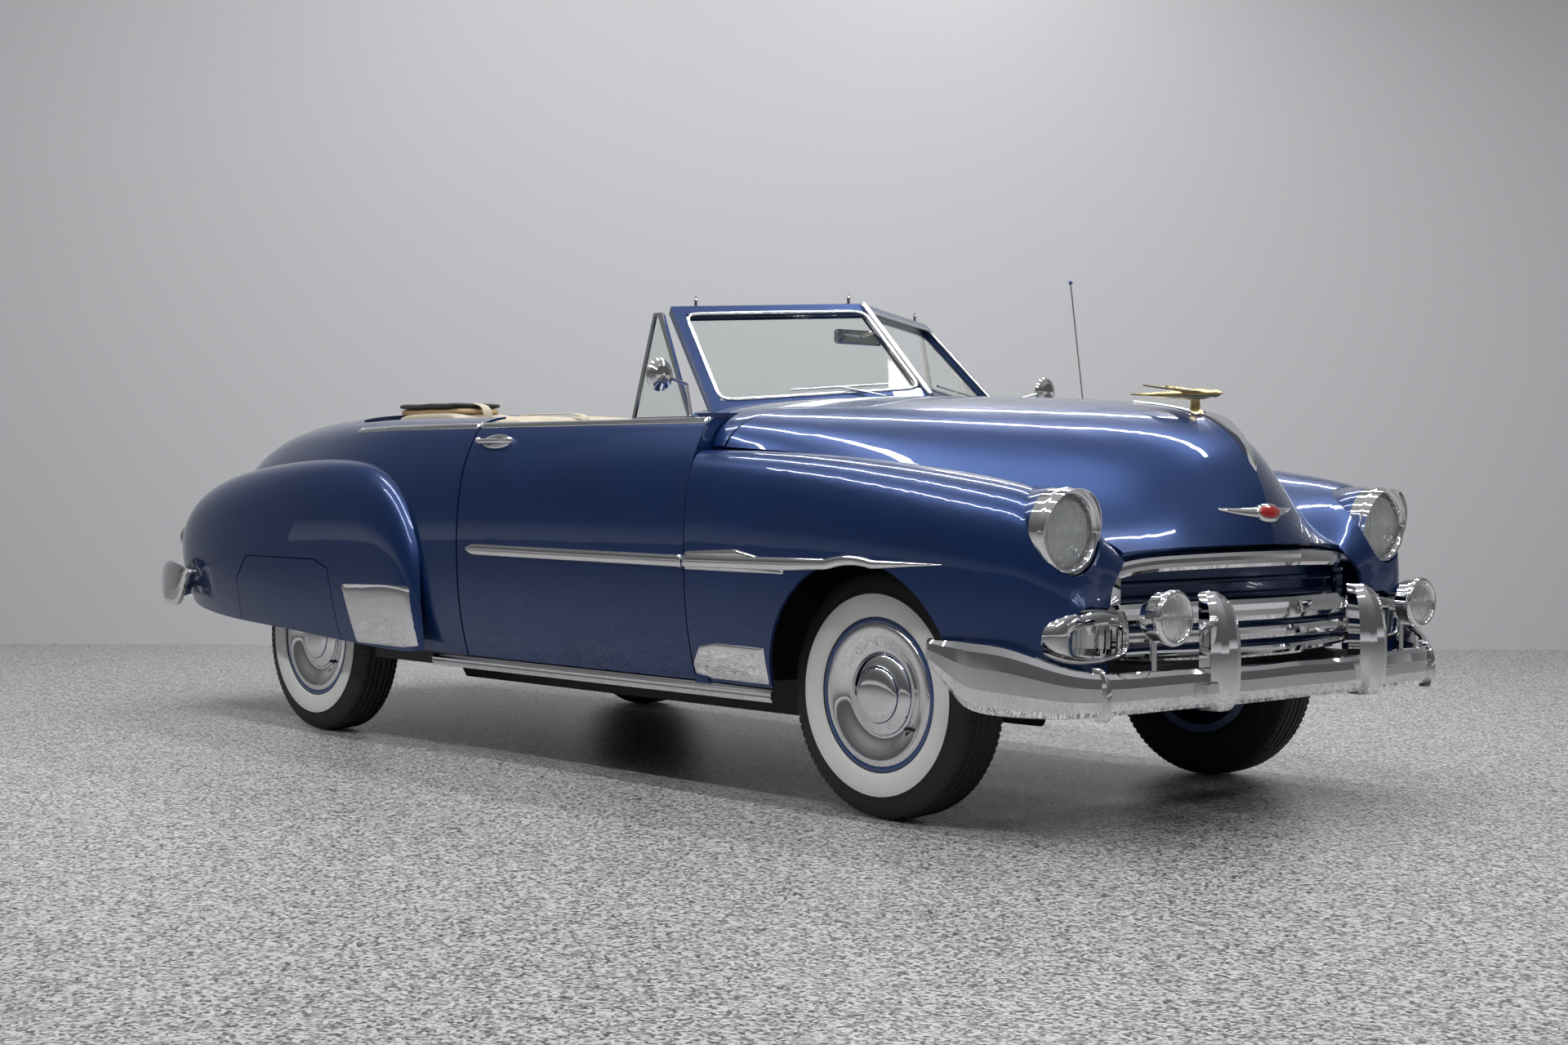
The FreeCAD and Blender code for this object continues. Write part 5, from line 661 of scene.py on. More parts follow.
# %% Gilt figure
FIGURE_AHEAD, FIGURE_LIFT, FIGURE_ARCH = 0.470, 0.052, 0.10
# The body as (ahead, radius) from tail to nose, a little taller than wide
FIGURE = [(-0.235, 0.0), (-0.230, 0.0020), (-0.16, 0.0045), (-0.09, 0.0085), (-0.02, 0.0125), (0.03, 0.0125),
          (0.052, 0.0088), (0.060, 0.0080), (0.070, 0.0092), (0.080, 0.0075), (0.088, 0.0035), (0.098, 0.0)]
FIGURE_TALL = 1.2
# Each wing's half chord and what is left of it at the tip, its half thickness, and then for its sweep back,
# its span out and its climb where they start and how far they go
CHORD_HALF, CHORD_TIP, CHORD_THICK = 0.036, 0.002, 0.0022
SWEEP_FROM, SWEEP_BACK, SPAN_FROM, SPAN_OUT, CLIMB_FROM, CLIMB_UP = 0.005, 0.150, 0.006, 0.046, 0.006, 0.022
FOOT_LONG, FOOT_WIDE, FOOT_SINK, FOOT_FLARE, FOOT_FADE = 0.016, 0.0035, 0.004, 1.6, 0.008


def figure_body(place):
    """Rings of the body, whose middle line rises as a square towards its ends."""
    ahead, radius = np.transpose(FIGURE)
    turn = full_turn(32)[:, None]
    return surface(place[0] + ahead, radius * np.cos(turn),
                   place[2] + FIGURE_ARCH * ahead ** 2 + radius * FIGURE_TALL * np.sin(turn))


def figure_wing(place, way):
    """A wing as a flat ellipse that sweeps back, spreads and rises along its share of the span."""
    share, chord = np.linspace(0, 1, 14)[:, None], full_turn(20)[None]
    width = CHORD_HALF * (1 - share) ** 0.7 + CHORD_TIP
    return surface(place[0] + SWEEP_FROM - SWEEP_BACK * share ** 1.1 + width * np.cos(chord),
                   way * (SPAN_FROM + SPAN_OUT * np.sin(share * np.pi / 2)),
                   place[2] + CLIMB_FROM + CLIMB_UP * share + CHORD_THICK * np.sin(chord))


def figure_foot(perch):
    """An oval post from just inside the hood to the body, with a flare that fades upwards."""
    height = np.linspace(-FOOT_SINK, FIGURE_LIFT, 8)[:, None]
    turn = full_turn(20)[None]
    flare = 1.0 + FOOT_FLARE * np.exp(-(height + FOOT_SINK) / FOOT_FADE)
    return surface(perch[0] + FOOT_LONG * flare * np.cos(turn), FOOT_WIDE * flare * np.sin(turn),
                   perch[2] + height)


perch = thrown(hood_tree, [(FRONT_AXLE + FIGURE_AHEAD, 0.0, ABOVE)], DOWN)[0][0]
figure_place = perch + (0.0, 0.0, FIGURE_LIFT)
make_piece("gilt_figure", "hood",
           [(figure_body(figure_place), True, False), (figure_wing(figure_place, 1.0), False, True),
            (figure_wing(figure_place, -1.0), False, True), (figure_foot(perch), False, True)], gold_plate)
print("figure stands at", [round(float(v), 3) for v in perch])

# %% [markdown]
# ## Windshield trim
# A thin bright reveal frames each flat pane, a bar covers the joint between the two, and small pins on the
# header hold the top when it is up. The four corners of one pane are known from the solid frame. The reveal
# is a round section carried along the loop of its opening, whose corners are softened by a running mean.

# %% Reveals, centre bar and pins
# Corners of the pane as (ahead of the front axle, out, up): low middle, low side, high side, high middle
PANE = np.array([(-0.5638, 0.0, 1.2048), (-0.8296, 0.6832, 1.1496), (-1.1509, 0.5847, 1.4880),
                 (-0.8763, 0.0, 1.5144)]) + (FRONT_AXLE, 0.0, 0.0)
BORDER, BAR = 0.038, 0.015
REVEAL_WIDE, REVEAL_HIGH, REVEAL_LIFT = 0.006, 0.004, 0.001
# Each pin's share of the way out along the header, and its side
PINS = ((0.86, -1.0), (0.06, -1.0), (0.86, 1.0))
PIN_BACK, PIN_SINK, PIN_TOP, PIN_RADIUS = 0.012, 0.004, 0.030, 0.0055
# A pin is thinner above this height
PIN_NECK, PIN_THIN = 0.024, 0.0035
BAR_POINTS, BAR_AHEAD, BAR_FACING = 30, 0.004, (0.70, 0.0, 0.71)


def pane_frame(way):
    """The opening's four corners and the pane's outward normal, for one side."""
    corners = PANE * (1.0, way, 1.0)
    low, high, centre, edge = unit(np.array([corners[1] - corners[0], corners[2] - corners[3],
                                             corners[3] - corners[0], corners[2] - corners[1]]))
    out = np.cross(centre, low)
    out *= np.sign(out[0]) / np.linalg.norm(out)
    inside = [corners[0] + low * BAR + centre * BORDER, corners[1] - low * BORDER + edge * BORDER,
              corners[2] - high * BORDER - edge * BORDER, corners[3] + high * BAR - centre * BORDER]
    return np.array(inside), out


def reveal(inside, out):
    """A round section carried along the softened loop through four corners."""
    loop = np.concatenate([np.linspace(inside[i], inside[(i + 1) % 4], 24, endpoint=False) for i in range(4)])
    for _ in range(3):
        loop = (np.roll(loop, 1, 0) + loop * 2 + np.roll(loop, -1, 0)) / 4
    along = unit(np.roll(loop, -1, 0) - np.roll(loop, 1, 0))
    across = np.cross(np.broadcast_to(out, along.shape), along)
    angle = full_turn(10)[None, :, None]
    return (loop[:, None] + across[:, None] * (np.cos(angle) * REVEAL_WIDE)
            + out * (np.sin(angle) * REVEAL_HIGH + REVEAL_LIFT))


for side, way in SIDES:
    make_piece("reveal_" + side, "car_body", [(reveal(*pane_frame(way)), True, True)], chrome)
centre_line = np.linspace(PANE[0], PANE[3], BAR_POINTS) + (BAR_AHEAD, 0.0, 0.0)
bar_normals = np.tile(BAR_FACING, (BAR_POINTS, 1))
strip_piece("centre_bar", "car_body", (centre_line, bar_normals), half_width=0.011, height=0.008, sink=0.004)
for index, (share, way) in enumerate(PINS):
    corner = PANE * (1.0, way, 1.0)
    foot = corner[3] + (corner[2] - corner[3]) * share
    height, turn = np.linspace(-PIN_SINK, PIN_TOP, 8)[:, None], full_turn(16)[None]
    radius = np.where(height > PIN_NECK, PIN_THIN, PIN_RADIUS)
    pin = surface(foot[0] - PIN_BACK + radius * np.cos(turn), foot[1] + radius * np.sin(turn),
                  foot[2] + height)
    make_piece("header_pin_%d" % index, "car_body", [(pin, False, True)], chrome)
print("header pins:", len(PINS))

# %% [markdown]
# ## Handle plates and lamp pods
# The plate behind a door handle is a pressed oval dome, and so are the lock button and the small screws of
# the belt. A dome could be a scaled sphere, but the panel below it is curved. So the dome's rise is added to
# points thrown onto the panel. The pod round each parking lamp is one chromed casting that grows out of the
# fender into an oval mouth: its outer oval is thrown onto the panels, and its inner one lies on the lamp's
# face.


# %% Domes on panels
def dome_on(name, body, tree, side, centre, half, rise):
    """An oval dome laid on a panel: rise times the root of one less the square of the share of its radius."""
    share, turn = np.meshgrid(np.sin(np.linspace(0, np.pi / 2, 12)), full_turn(40))
    starts = surface(FRONT_AXLE + centre[0] + half[0] * share * np.cos(turn), BESIDE * side,
                     centre[1] + half[1] * share * np.sin(turn))
    places, normals = thrown(tree, starts.reshape(-1, 3), (0.0, -side, 0.0))
    lift = rise * np.sqrt(np.clip(1 - share.reshape(-1, 1) ** 2, 0, 1)) - DOME_SINK
    return make_piece(name, body, [((places + normals * lift).reshape(starts.shape), True, False)], chrome)


DOME_SINK = 0.001
# Each dome's middle as (ahead of the front axle, up), its half length and half height, and its rise
HANDLE_PLATE = ((-1.755, 1.060), (0.085, 0.024), 0.012)
LOCK_BUTTON = ((-1.862, 1.062), (0.011, 0.011), 0.016)
SCREWS = [((ahead, 1.1095), (0.005, 0.005), 0.0095) for ahead in (-2.70, -2.64, -2.52)]
for side, way in SIDES:
    door = "door_" + side
    dome_on("handle_plate_" + side, door, door_tree[side], way, *HANDLE_PLATE)
    dome_on("lock_button_" + side, door, door_tree[side], way, *LOCK_BUTTON)
    for index, screw in enumerate(SCREWS):
        dome_on("belt_screw_%s_%d" % (side, index), "car_body", quarter_tree, way, *screw)
print("domes on each side:", 2 + len(SCREWS))

# %% Lamp pods
POD_OUTER = ((0.668, 0.533), (0.152, 0.068), 0.66)
POD_INNER = ((0.646, 0.522), (0.119, 0.0415), 0.55)
POD_SINK, POD_LIP, POD_PROUD = 0.006, 0.014, 0.004
# Two places on the grille's face, as (out, up), that the pod's mouth stands proud of
POD_FACE = ((0.60, 0.573), (0.72, 0.573))


def oval(centre, half, power, turn):
    """Points of a superellipse across and up, at angles turn."""
    return centre[0] + half[0] * bent(np.cos(turn), power), centre[1] + half[1] * bent(np.sin(turn), power)


def lamp_pod(way):
    """Rings from the outer oval on the panels to the inner one, round a quarter of an ellipse."""
    turn = full_turn(96)
    outer_y, outer_z = oval(*POD_OUTER, turn)
    inner_y, inner_z = oval(*POD_INNER, turn)
    root = thrown(front_tree, surface(AHEAD, outer_y * way, outer_z), BACK)[0][:, 0] - POD_SINK
    face_places, _ = thrown(front_tree, [(AHEAD, out * way, up) for out, up in POD_FACE], BACK)
    face = face_places[:, 0].max() + POD_PROUD
    share = np.linspace(0, np.pi / 2, 14)[:, None]
    rings = surface(root + (face - root) * np.sin(share) ** 0.7,
                    (outer_y + (inner_y - outer_y) * (1 - np.cos(share))) * way,
                    outer_z + (inner_z - outer_z) * (1 - np.cos(share)))
    return np.concatenate([rings, rings[-1:] - (POD_LIP, 0.0, 0.0)])


for side, way in SIDES:
    pod = lamp_pod(way)
    make_piece("lamp_pod_" + side, "car_body", [(pod, False, True)], chrome)
    print("pod reaches from", [round(float(v), 4) for v in (pod[..., 0].min(), pod[..., 0].max())])

# %% [markdown]
# ## Wheel trim
# A bright trim ring and a stepped cap are pressed from sheet and snap onto the painted wheel. The wheel's
# solid has their form, but its rings are coarse. They could be smoothed by a modifier, which would also round
# the rim. So the cap and ring are turned again from more points, a hair in front of the solid.

# %% Caps, rims and valves
# The cap and ring as (radius, out from the wheel's middle plane)
CAP = [(0.0, 0.0895), (0.020, 0.0892), (0.036, 0.0883), (0.052, 0.0868), (0.064, 0.0847), (0.072, 0.0822),
       (0.0765, 0.0790), (0.0785, 0.0755), (0.081, 0.0738), (0.087, 0.0722), (0.094, 0.0700), (0.101, 0.0676),
       (0.107, 0.0650), (0.111, 0.0622), (0.1130, 0.0590), (0.1160, 0.0574), (0.121, 0.0573), (0.128, 0.0590),
       (0.136, 0.0622), (0.145, 0.0668), (0.155, 0.0715), (0.166, 0.0757), (0.176, 0.0784), (0.185, 0.0795),
       (0.192, 0.0792), (0.1965, 0.0778), (0.1985, 0.0745)]
# The rim's lip and the valve as (out, radius)
RIM = [(0.0738, 0.1975), (0.0758, 0.2000), (0.0762, 0.2060), (0.0755, 0.2110), (0.0735, 0.2145),
       (0.0700, 0.2160)]
VALVE = [(0.0, 0.005), (0.022, 0.005), (0.024, 0.0035), (0.026, 0.0)]
VALVE_OUT, VALVE_RADIUS, VALVE_ANGLE = 0.062, 0.142, 2.2
cap_profile = [(out, radius) for radius, out in CAP]
valve_spoke = VALVE_RADIUS * np.array([math.sin(VALVE_ANGLE), 0, math.cos(VALVE_ANGLE)])
for corner, (body, side) in WHEELS.items():
    centre = wheel_centre("tyre_" + corner)
    stem = np.array(centre) + (0.0, side * VALVE_OUT, 0.0) + valve_spoke
    make_piece("cap_" + corner, body, [(turned(cap_profile, 128, centre, side), True, False)], chrome)
    make_piece("rim_lip_" + corner, body, [(turned(RIM, 128, centre, side), True, False)], rim_blue)
    make_piece("valve_" + corner, body, [(turned(VALVE, 12, stem, side), True, False)], black_rubber)
print("wheels trimmed:", len(WHEELS))

# %% [markdown]
# ## Lamps
# The lenses are pressed glass with upright flutes, before a bright bowl. The flutes could be modelled as
# ridges, which would take many faces for a form of two millimetres. Here a sine of the distance across the
# car bends the light instead, and the rims and bowls are turned like the wheel trim, about a line ahead.


# %% Lenses
def fluted_finish(name, tint, pitch, depth, weight):
    """Glass with a relief of depth times the sine of the way across, once every pitch."""
    shader = Shader(name, Base_Color=tint, Roughness=0.06, IOR=1.45, Transmission_Weight=weight,
                    Coat_Weight=0.6)
    across = shader.node("ShaderNodeSeparateXYZ", None, {0: shader.place()}, out="Y")
    return shader.bump((across * (2 * math.pi / pitch)).math("SINE"), depth).material


head_glass = fluted_finish("head_glass", (0.90, 0.93, 0.93), 0.011, 0.0022, 0.55)
fog_glass = fluted_finish("fog_glass", (0.92, 0.92, 0.90), 0.009, 0.0022, 0.85)
red_glass = fluted_finish("red_glass", (0.45, 0.008, 0.006), 0.006, 0.0010, 0.25)
wear(head_glass, "lamp_lenses")
wear(red_glass, "tail_lamps")
print("lenses:", head_glass.name, fog_glass.name, red_glass.name)


# %% Lamp rims and bowls
def turned_ahead(profile, count, centre):
    """A profile of (ahead, radius) turned about a line along X through centre."""
    ahead, radius = np.transpose(profile)
    angle = full_turn(count)[:, None]
    return surface(centre[0] + ahead, centre[1] + radius * np.cos(angle), centre[2] + radius * np.sin(angle))


def round_piece(name, body, profile, count, centre, finish):
    """One piece turned about a line ahead."""
    return make_piece(name, body, [(turned_ahead(profile, count, centre), True, False)], finish)


# Profiles as (ahead of the lamp's middle, radius)
FOG_FACE = [(0.0100, 0.0585), (0.0128, 0.0540), (0.0158, 0.0430), (0.0180, 0.0280), (0.0194, 0.0130),
            (0.0198, 0.0)]
FOG_BOWL = [(0.0100, 0.0585), (-0.010, 0.052), (-0.026, 0.038), (-0.034, 0.020), (-0.036, 0.0)]
FOG_RING = [(-0.004, 0.0722), (0.004, 0.0735), (0.010, 0.0722), (0.0148, 0.0682), (0.0158, 0.0635),
            (0.0140, 0.0598), (0.0095, 0.0582)]
BEZEL = [(0.020, 0.1148), (0.0275, 0.1148), (0.0325, 0.1130), (0.0355, 0.1095), (0.0368, 0.1050),
         (0.0362, 0.1010), (0.0335, 0.0980), (0.0280, 0.0962)]
LAMP_TUB = [(-0.148, 0.104), (-0.146, 0.1141), (-0.012, 0.1141)]
TAIL_RING = [(0.0, 0.0445), (-0.004, 0.0450), (-0.007, 0.0475), (-0.004, 0.0510), (0.004, 0.0515),
             (0.03, 0.0515)]
# Middles of the lamps as (ahead of the front axle, out, up)
FOG, LAMP = (0.838, 0.575, 0.590), (0.592, 0.723, 0.808)
TAIL_REST, TAIL_OUT, TAIL_UP = 0.012, 0.7265, 0.690
low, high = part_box("tail_lamps")
for side, way in SIDES:
    fog, lamp = on_side(FOG, way), on_side(LAMP, way)
    tail = (low[0] + TAIL_REST, way * TAIL_OUT, TAIL_UP)
    for name, profile, count, centre, finish in (
            ("fog_lens_", FOG_FACE, 64, fog, fog_glass), ("fog_bowl_", FOG_BOWL, 64, fog, chrome),
            ("fog_ring_", FOG_RING, 64, fog, chrome), ("bezel_", BEZEL, 96, lamp, chrome),
            ("lamp_tub_", LAMP_TUB, 96, lamp, body_blue), ("tail_ring_", TAIL_RING, 64, tail, chrome)):
        round_piece(name + side, "car_body", profile, count, centre, finish)
print("lamp pieces on each side: 6")

# %% [markdown]
# ## Seats
# Each bench is one upholstered cushion and back. A cloth simulation could puff a cover over a frame, but a
# pleated bench hardly moves, and a formula keeps its seams straight. The side outline is rounded by cutting
# corners again and again, and repeated across the car. Sewn pleats pull the cover in by a few millimetres,
# and both ends are rounded by drawing the outline in along a quarter circle.


# %% Cloth, leather and carpet
def woven_finish(name, dark, light, roughness, scale, depth):
    """A slow cloud and fine threads mix two tones, and the threads give the relief."""
    shader = Shader(name, Roughness=roughness, Sheen_Weight=0.2)
    cloud, threads = shader.noise(14.0, 4.0), shader.noise(scale, 2.0)
    shader.set(Base_Color=shader.colour((cloud * 0.6 + threads * 0.5).clip(), dark, light))
    return shader.bump(threads, depth).material


seat_cover = woven_finish("seat_cover", (0.36, 0.31, 0.22), (0.52, 0.46, 0.34), 0.48, 260.0, 0.0006)
top_cloth = woven_finish("top_cloth", (0.006, 0.006, 0.007), (0.022, 0.022, 0.024), 0.85, 900.0, 0.0008)
liner = woven_finish("liner", (0.40, 0.35, 0.26), (0.55, 0.49, 0.38), 0.8, 500.0, 0.0006)
carpet = woven_finish("carpet", (0.010, 0.016, 0.035), (0.030, 0.042, 0.075), 0.95, 1200.0, 0.0015)
print("woven finishes:", seat_cover.name, top_cloth.name, liner.name, carpet.name)

# %% Benches
# The side outline as (ahead, up), stretched below to fill the box of each seat
BENCH = [(0.0, 0.0), (0.27, 0.0), (0.54, 0.0), (0.556, 0.10), (0.548, 0.19), (0.36, 0.185), (0.165, 0.165),
         (0.10, 0.34), (0.04, 0.56), (0.0, 0.69), (-0.07, 0.70), (-0.136, 0.676), (-0.11, 0.40), (-0.06, 0.0)]
PLEAT_PITCH, PLEAT_DEPTH = 0.11, 0.009
END_RADIUS = 0.045
BACK_FROM = 0.20
# The point that each end is gathered to: a share of the way ahead, and a rise
HUB_AHEAD, HUB_UP = 0.30, 0.12


def rounded(points, times):
    """A closed outline with its corners cut again and again, each cut at a quarter of an edge."""
    points = np.array(points, float)
    for _ in range(times):
        following = np.roll(points, -1, 0)
        cuts = np.stack([points * 0.75 + following * 0.25, points * 0.25 + following * 0.75], 1)
        points = cuts.reshape(-1, 2)
    return points


def fitted(outline, low, high):
    """The outline stretched to fill a box in side view."""
    span = np.ptp(outline, axis=0)
    scale = np.array([(high[0] - low[0]) / span[0], (high[2] - low[2]) / span[1]])
    return (outline - outline.min(0)) * scale + (low[0], low[2])


def outward(section):
    """Unit normals of a closed outline, turned away from its middle."""
    along = np.roll(section, -1, 0) - np.roll(section, 1, 0)
    normal = unit(np.stack([along[:, 1], -along[:, 0]], 1))
    facing = np.mean(np.sum(normal * (section - section.mean(0)), axis=1))
    return -normal if facing < 0 else normal


def bench(name, node):
    """A bench's cover: its outline across the car, less the draw at the ends and the pull of the pleats.

    The draw is END_RADIUS times one less the cosine of the way round an end. The pull is PLEAT_DEPTH at a
    seam and fades with a low power of the sine of the distance across, on the faces that a sitter touches.
    """
    low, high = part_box(node)
    section = fitted(rounded(BENCH, 4), low, high)
    normal = outward(section)
    seat_face = np.clip(normal[:, 1] * 1.2 + 0.15, 0, 1)
    back_face = np.clip(normal[:, 0], 0, 1) * (section[:, 1] > low[2] + BACK_FROM)
    soft = np.clip(seat_face + back_face, 0, 1)
    width = (high[1] - low[1]) / 2
    flat = width - END_RADIUS
    end = END_RADIUS * (1 - np.cos(np.linspace(0, np.pi / 2, 9)[:-1]))
    across = np.concatenate([-width + end, np.linspace(-flat, flat, 241), width - end[::-1]])
    past = np.clip((np.abs(across) - flat) / END_RADIUS, 0, 1)
    draw = END_RADIUS * (1 - np.sqrt(1 - past ** 2))
    seam = np.abs(np.sin(np.pi * across / PLEAT_PITCH)) ** 0.35
    pleat = np.where(np.abs(across) < width - 2 * END_RADIUS, (seam - 1.0) * PLEAT_DEPTH, 0.0)
    pull = pleat[:, None] * soft - draw[:, None]
    outline = section + normal * pull[..., None]
    hubs = [np.array([low[0] + HUB_AHEAD * (high[0] - low[0]), y, low[2] + HUB_UP]) for y in across[[0, -1]]]
    rows = surface(outline[..., 0], across[:, None], outline[..., 1])
    grid = closed_ends(rows, (0.0, 0.25, 0.5, 0.75), hubs)
    cover = make_piece(name, "car_body", [(grid, False, True)], seat_cover)
    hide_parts(node)


bench("front_bench", "front_seat")
bench("rear_bench", "rear_seat")
print("pleats every", PLEAT_PITCH, "m")

# %% [markdown]
# ## Folded top
# The top lies folded behind the rear seat, with its lining outwards. The bundle could be dropped as a cloth
# over its frame. A formula is quicker, and little of the bundle shows over the doors. Its section is a
# flattened ring whose front and back edges show the layers as small lobes. Along its length it sags a little
# and gathers in uneven folds. Two straps go over it, and one padded rail lies on its right side.

# %% The bundle
low, high = (np.array(v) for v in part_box("folded_top"))
middle, half = (low + high) / 2, (high - low) / 2
LAYERS, LOBE, GATHER, FINE_GATHER = 5, 0.012, 0.004, 0.002
EDGE_SAG, MIDDLE_SAG = 0.022, 0.008
# How far the ring lies inside the solid's box ahead, across and up
INSET = (0.014, 0.003, 0.008)
# The power that squares the ring off, and the share of its length and of its height left at the ends
RING_POWER = 0.45
END_DEEP, END_TALL = 0.93, 0.80


def fullness(along, power, least):
    """How full a section is along a piece: 1 in the middle, with a quick fall to least at both ends."""
    return least + (1 - least) * np.clip(1 - np.abs(along) ** power, 0.0, 1.0) ** 0.5


def bundle_grid():
    """A squared ring with lobes and gathers, drawn in at both ends and let down along its upper side."""
    turn, along = full_turn(120), np.linspace(-1, 1, 160)[:, None]
    ring_x, ring_z = bent(np.cos(turn), RING_POWER), bent(np.sin(turn), RING_POWER)
    lobe = LOBE * np.abs(np.sin(ring_z * LAYERS * np.pi / 2)) ** 0.6 * np.abs(np.cos(turn)) ** 0.3
    gather = GATHER * np.sin(along * 11 + turn) + FINE_GATHER * np.sin(along * 29 + 2 * turn + 1.3)
    sag = (EDGE_SAG + MIDDLE_SAG * (1 - along ** 2)) * (ring_z > 0)
    reach = half - INSET
    x = (ring_x * reach[0] + np.sign(ring_x) * (lobe + gather)) * fullness(along, 14, END_DEEP)
    z = (ring_z * reach[2] + gather * 0.6 * (ring_z > 0.2)) * fullness(along, 14, END_TALL) - sag
    return surface(middle[0] + x, middle[1] + along * reach[1], middle[2] + z)


bundle_rows = closed_ends(bundle_grid(), (0.0, 0.4, 0.8))
bundle = make_piece("top_bundle", "car_body", [(bundle_rows, False, True)], liner)
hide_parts("folded_top")
print("bundle:", [round(float(v), 3) for v in high - low])

# %% Rail and straps
bow_finish = Shader("bow_finish", Base_Color=(0.50, 0.36, 0.20), Roughness=0.5).material
# How far the rail's middle lies behind the bundle's, and how much shorter than the box each half is
RAIL_BACK, RAIL_SHORT, RAIL_WAVE = 0.025, 0.029, 0.001
# The reach across of the rail and of the pad under it, their middles below the box's top, and their thickness
RAIL, PAD = ((-0.445, -0.235), 0.006, 0.020), ((-0.435, -0.245), 0.028, 0.030)
STRAP_HALF, STRAP_THICK, STRAP_AHEAD, STRAP_DROP = 0.020, 0.003, 0.004, 0.004
# Each strap's place across the car, and how far it stands over the bundle's box: one goes over the rail
STRAPS = ((-0.34, 0.008), (0.12, -0.020))


def rail_block(name, across, below, thick, finish):
    """A soft-edged bar along the car, thick metres deep, between two places across it."""
    along = np.linspace(-1, 1, 40)[:, None]
    wide, tall = oval((0.0, 0.0), ((across[1] - across[0]) / 2, thick / 2), 0.35, full_turn(40))
    grid = surface(middle[0] - RAIL_BACK + along * (half[0] - RAIL_SHORT),
                   (across[0] + across[1]) / 2 + wide * fullness(along, 10, 0.90),
                   high[2] - below + tall * fullness(along, 10, 0.3) + RAIL_WAVE * np.sin(along * 7 + 1.0))
    piece = make_piece(name, "car_body", [(closed_ends(grid), False, True)], finish)


rail_block("top_rail", *RAIL, top_cloth)
rail_block("top_pad", *PAD, bow_finish)
for index, (y, proud) in enumerate(STRAPS):
    turn = np.linspace(0, np.pi, 30)
    path = surface(middle[0] + (half[0] + STRAP_AHEAD) * bent(np.cos(turn), 0.4), y,
                   middle[2] - STRAP_DROP + (half[2] + proud) * np.abs(np.sin(turn)) ** 0.4)
    out = surface(np.cos(turn), 0.0, np.sin(turn))
    strap = strip_piece("top_strap_%d" % index, "car_body", (path, out), STRAP_HALF, STRAP_THICK, liner)
print("straps:", len(STRAPS))

# %% [markdown]
# ## Inside the cockpit
# Door cards and carpets are thin pieces laid on the solid walls and floor of the tub. A card could be a flat
# board, but it would show a gap where the door bulges, so its points are thrown onto the door from inside.

# %% Door cards and carpets
CARD_FROM, CARD_TO = (-0.22, 0.38), (0.90, 1.09)
CARD_INSIDE, CARD_THICK, CARD_RIB, CARD_PITCH = 0.30, 0.002, 0.003, 0.055
RIBBED_FROM, RIBBED_TO = 0.55, 0.95
MAT_RISE, MAT_EDGE = 0.004, 0.004
# Each mat's rear right corner and its front left one
CARPET_PLAN = ((-0.82, -0.738, 0.3325), (0.94, 0.738))
TRUNK_PLAN = ((-2.32, -0.55, 0.5105), (-0.86, 0.55))


def door_card(side, way):
    """A card lifted off the door's inner face, with a band of ribs along the root of a sine of the height."""
    x, z = np.meshgrid(np.linspace(CARD_FROM[0], CARD_TO[0], 60), np.linspace(CARD_FROM[1], CARD_TO[1], 50),
                       indexing="ij")
    starts = surface(x, CARD_INSIDE * way, z)
    places, normals = thrown(door_tree[side], starts.reshape(-1, 3), (0.0, way, 0.0))
    rib = CARD_RIB * np.abs(np.sin(np.pi * z / CARD_PITCH)) ** 0.5 * ((z > RIBBED_FROM) & (z < RIBBED_TO))
    return (places + normals * (CARD_THICK + rib.reshape(-1, 1))).reshape(starts.shape)


def mat(name, low, high, finish):
    """A thin mat between two corners in plan, whose edges come down to the floor."""
    x, y = np.meshgrid(np.linspace(low[0], high[0], 30), np.linspace(low[1], high[1], 40), indexing="ij")
    edge = np.minimum.reduce([x - low[0], high[0] - x, y - low[1], high[1] - y])
    grid = surface(x, y, low[2] + MAT_RISE * np.clip(edge / MAT_EDGE, 0, 1))
    return make_piece(name, "car_body", [(grid, False, False)], finish)


for side, way in SIDES:
    make_piece("door_card_" + side, "door_" + side, [(door_card(side, way), False, False)], seat_cover)
mat("front_carpet", *CARPET_PLAN, carpet)
mat("trunk_mat", *TRUNK_PLAN, liner)
print("door cards:", len(SIDES), "mats: 2")

# %% [markdown]
# ## Instruments, mirrors and the antenna's bead
# Each dial is a bright ring round a dark, slightly domed face. A mirror's face is a silvered disc. They are
# all turned about a line ahead, which is the way the driver looks, and so is the bead on the antenna's tip.

# %% Instruments and steering wheel
wheel_plastic = Shader("wheel_plastic", Base_Color=(0.012, 0.012, 0.014), Roughness=0.22,
                       Coat_Weight=0.6).material
wear(wheel_plastic, "steering_wheel")
dial_black = Shader("dial_black", Base_Color=(0.01, 0.01, 0.012), Roughness=0.25).material
DIAL_RING = [(0.002, 0.048), (-0.008, 0.049), (-0.012, 0.053), (-0.008, 0.057), (0.002, 0.058)]
DIAL_FACE = [(-0.003, 0.048), (-0.0035, 0.024), (-0.004, 0.0)]
DIAL_HEIGHT = 1.02
# Each dial's place across the dashboard and its size as a share of the ring above
DIALS = ((0.37, 1.5), (0.20, 0.8), (0.54, 0.8), (-0.05, 1.0), (-0.42, 0.9))
dash_low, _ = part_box("dashboard")
for index, (y, scale) in enumerate(DIALS):
    centre = (dash_low[0], y, DIAL_HEIGHT)
    for name, profile, finish in (("dial_ring_", DIAL_RING, chrome), ("dial_face_", DIAL_FACE, dial_black)):
        sized = np.array(profile) * (1.0, scale)
        round_piece(name + str(index), "car_body", sized, 48, centre, finish)
print("dials:", len(DIALS))

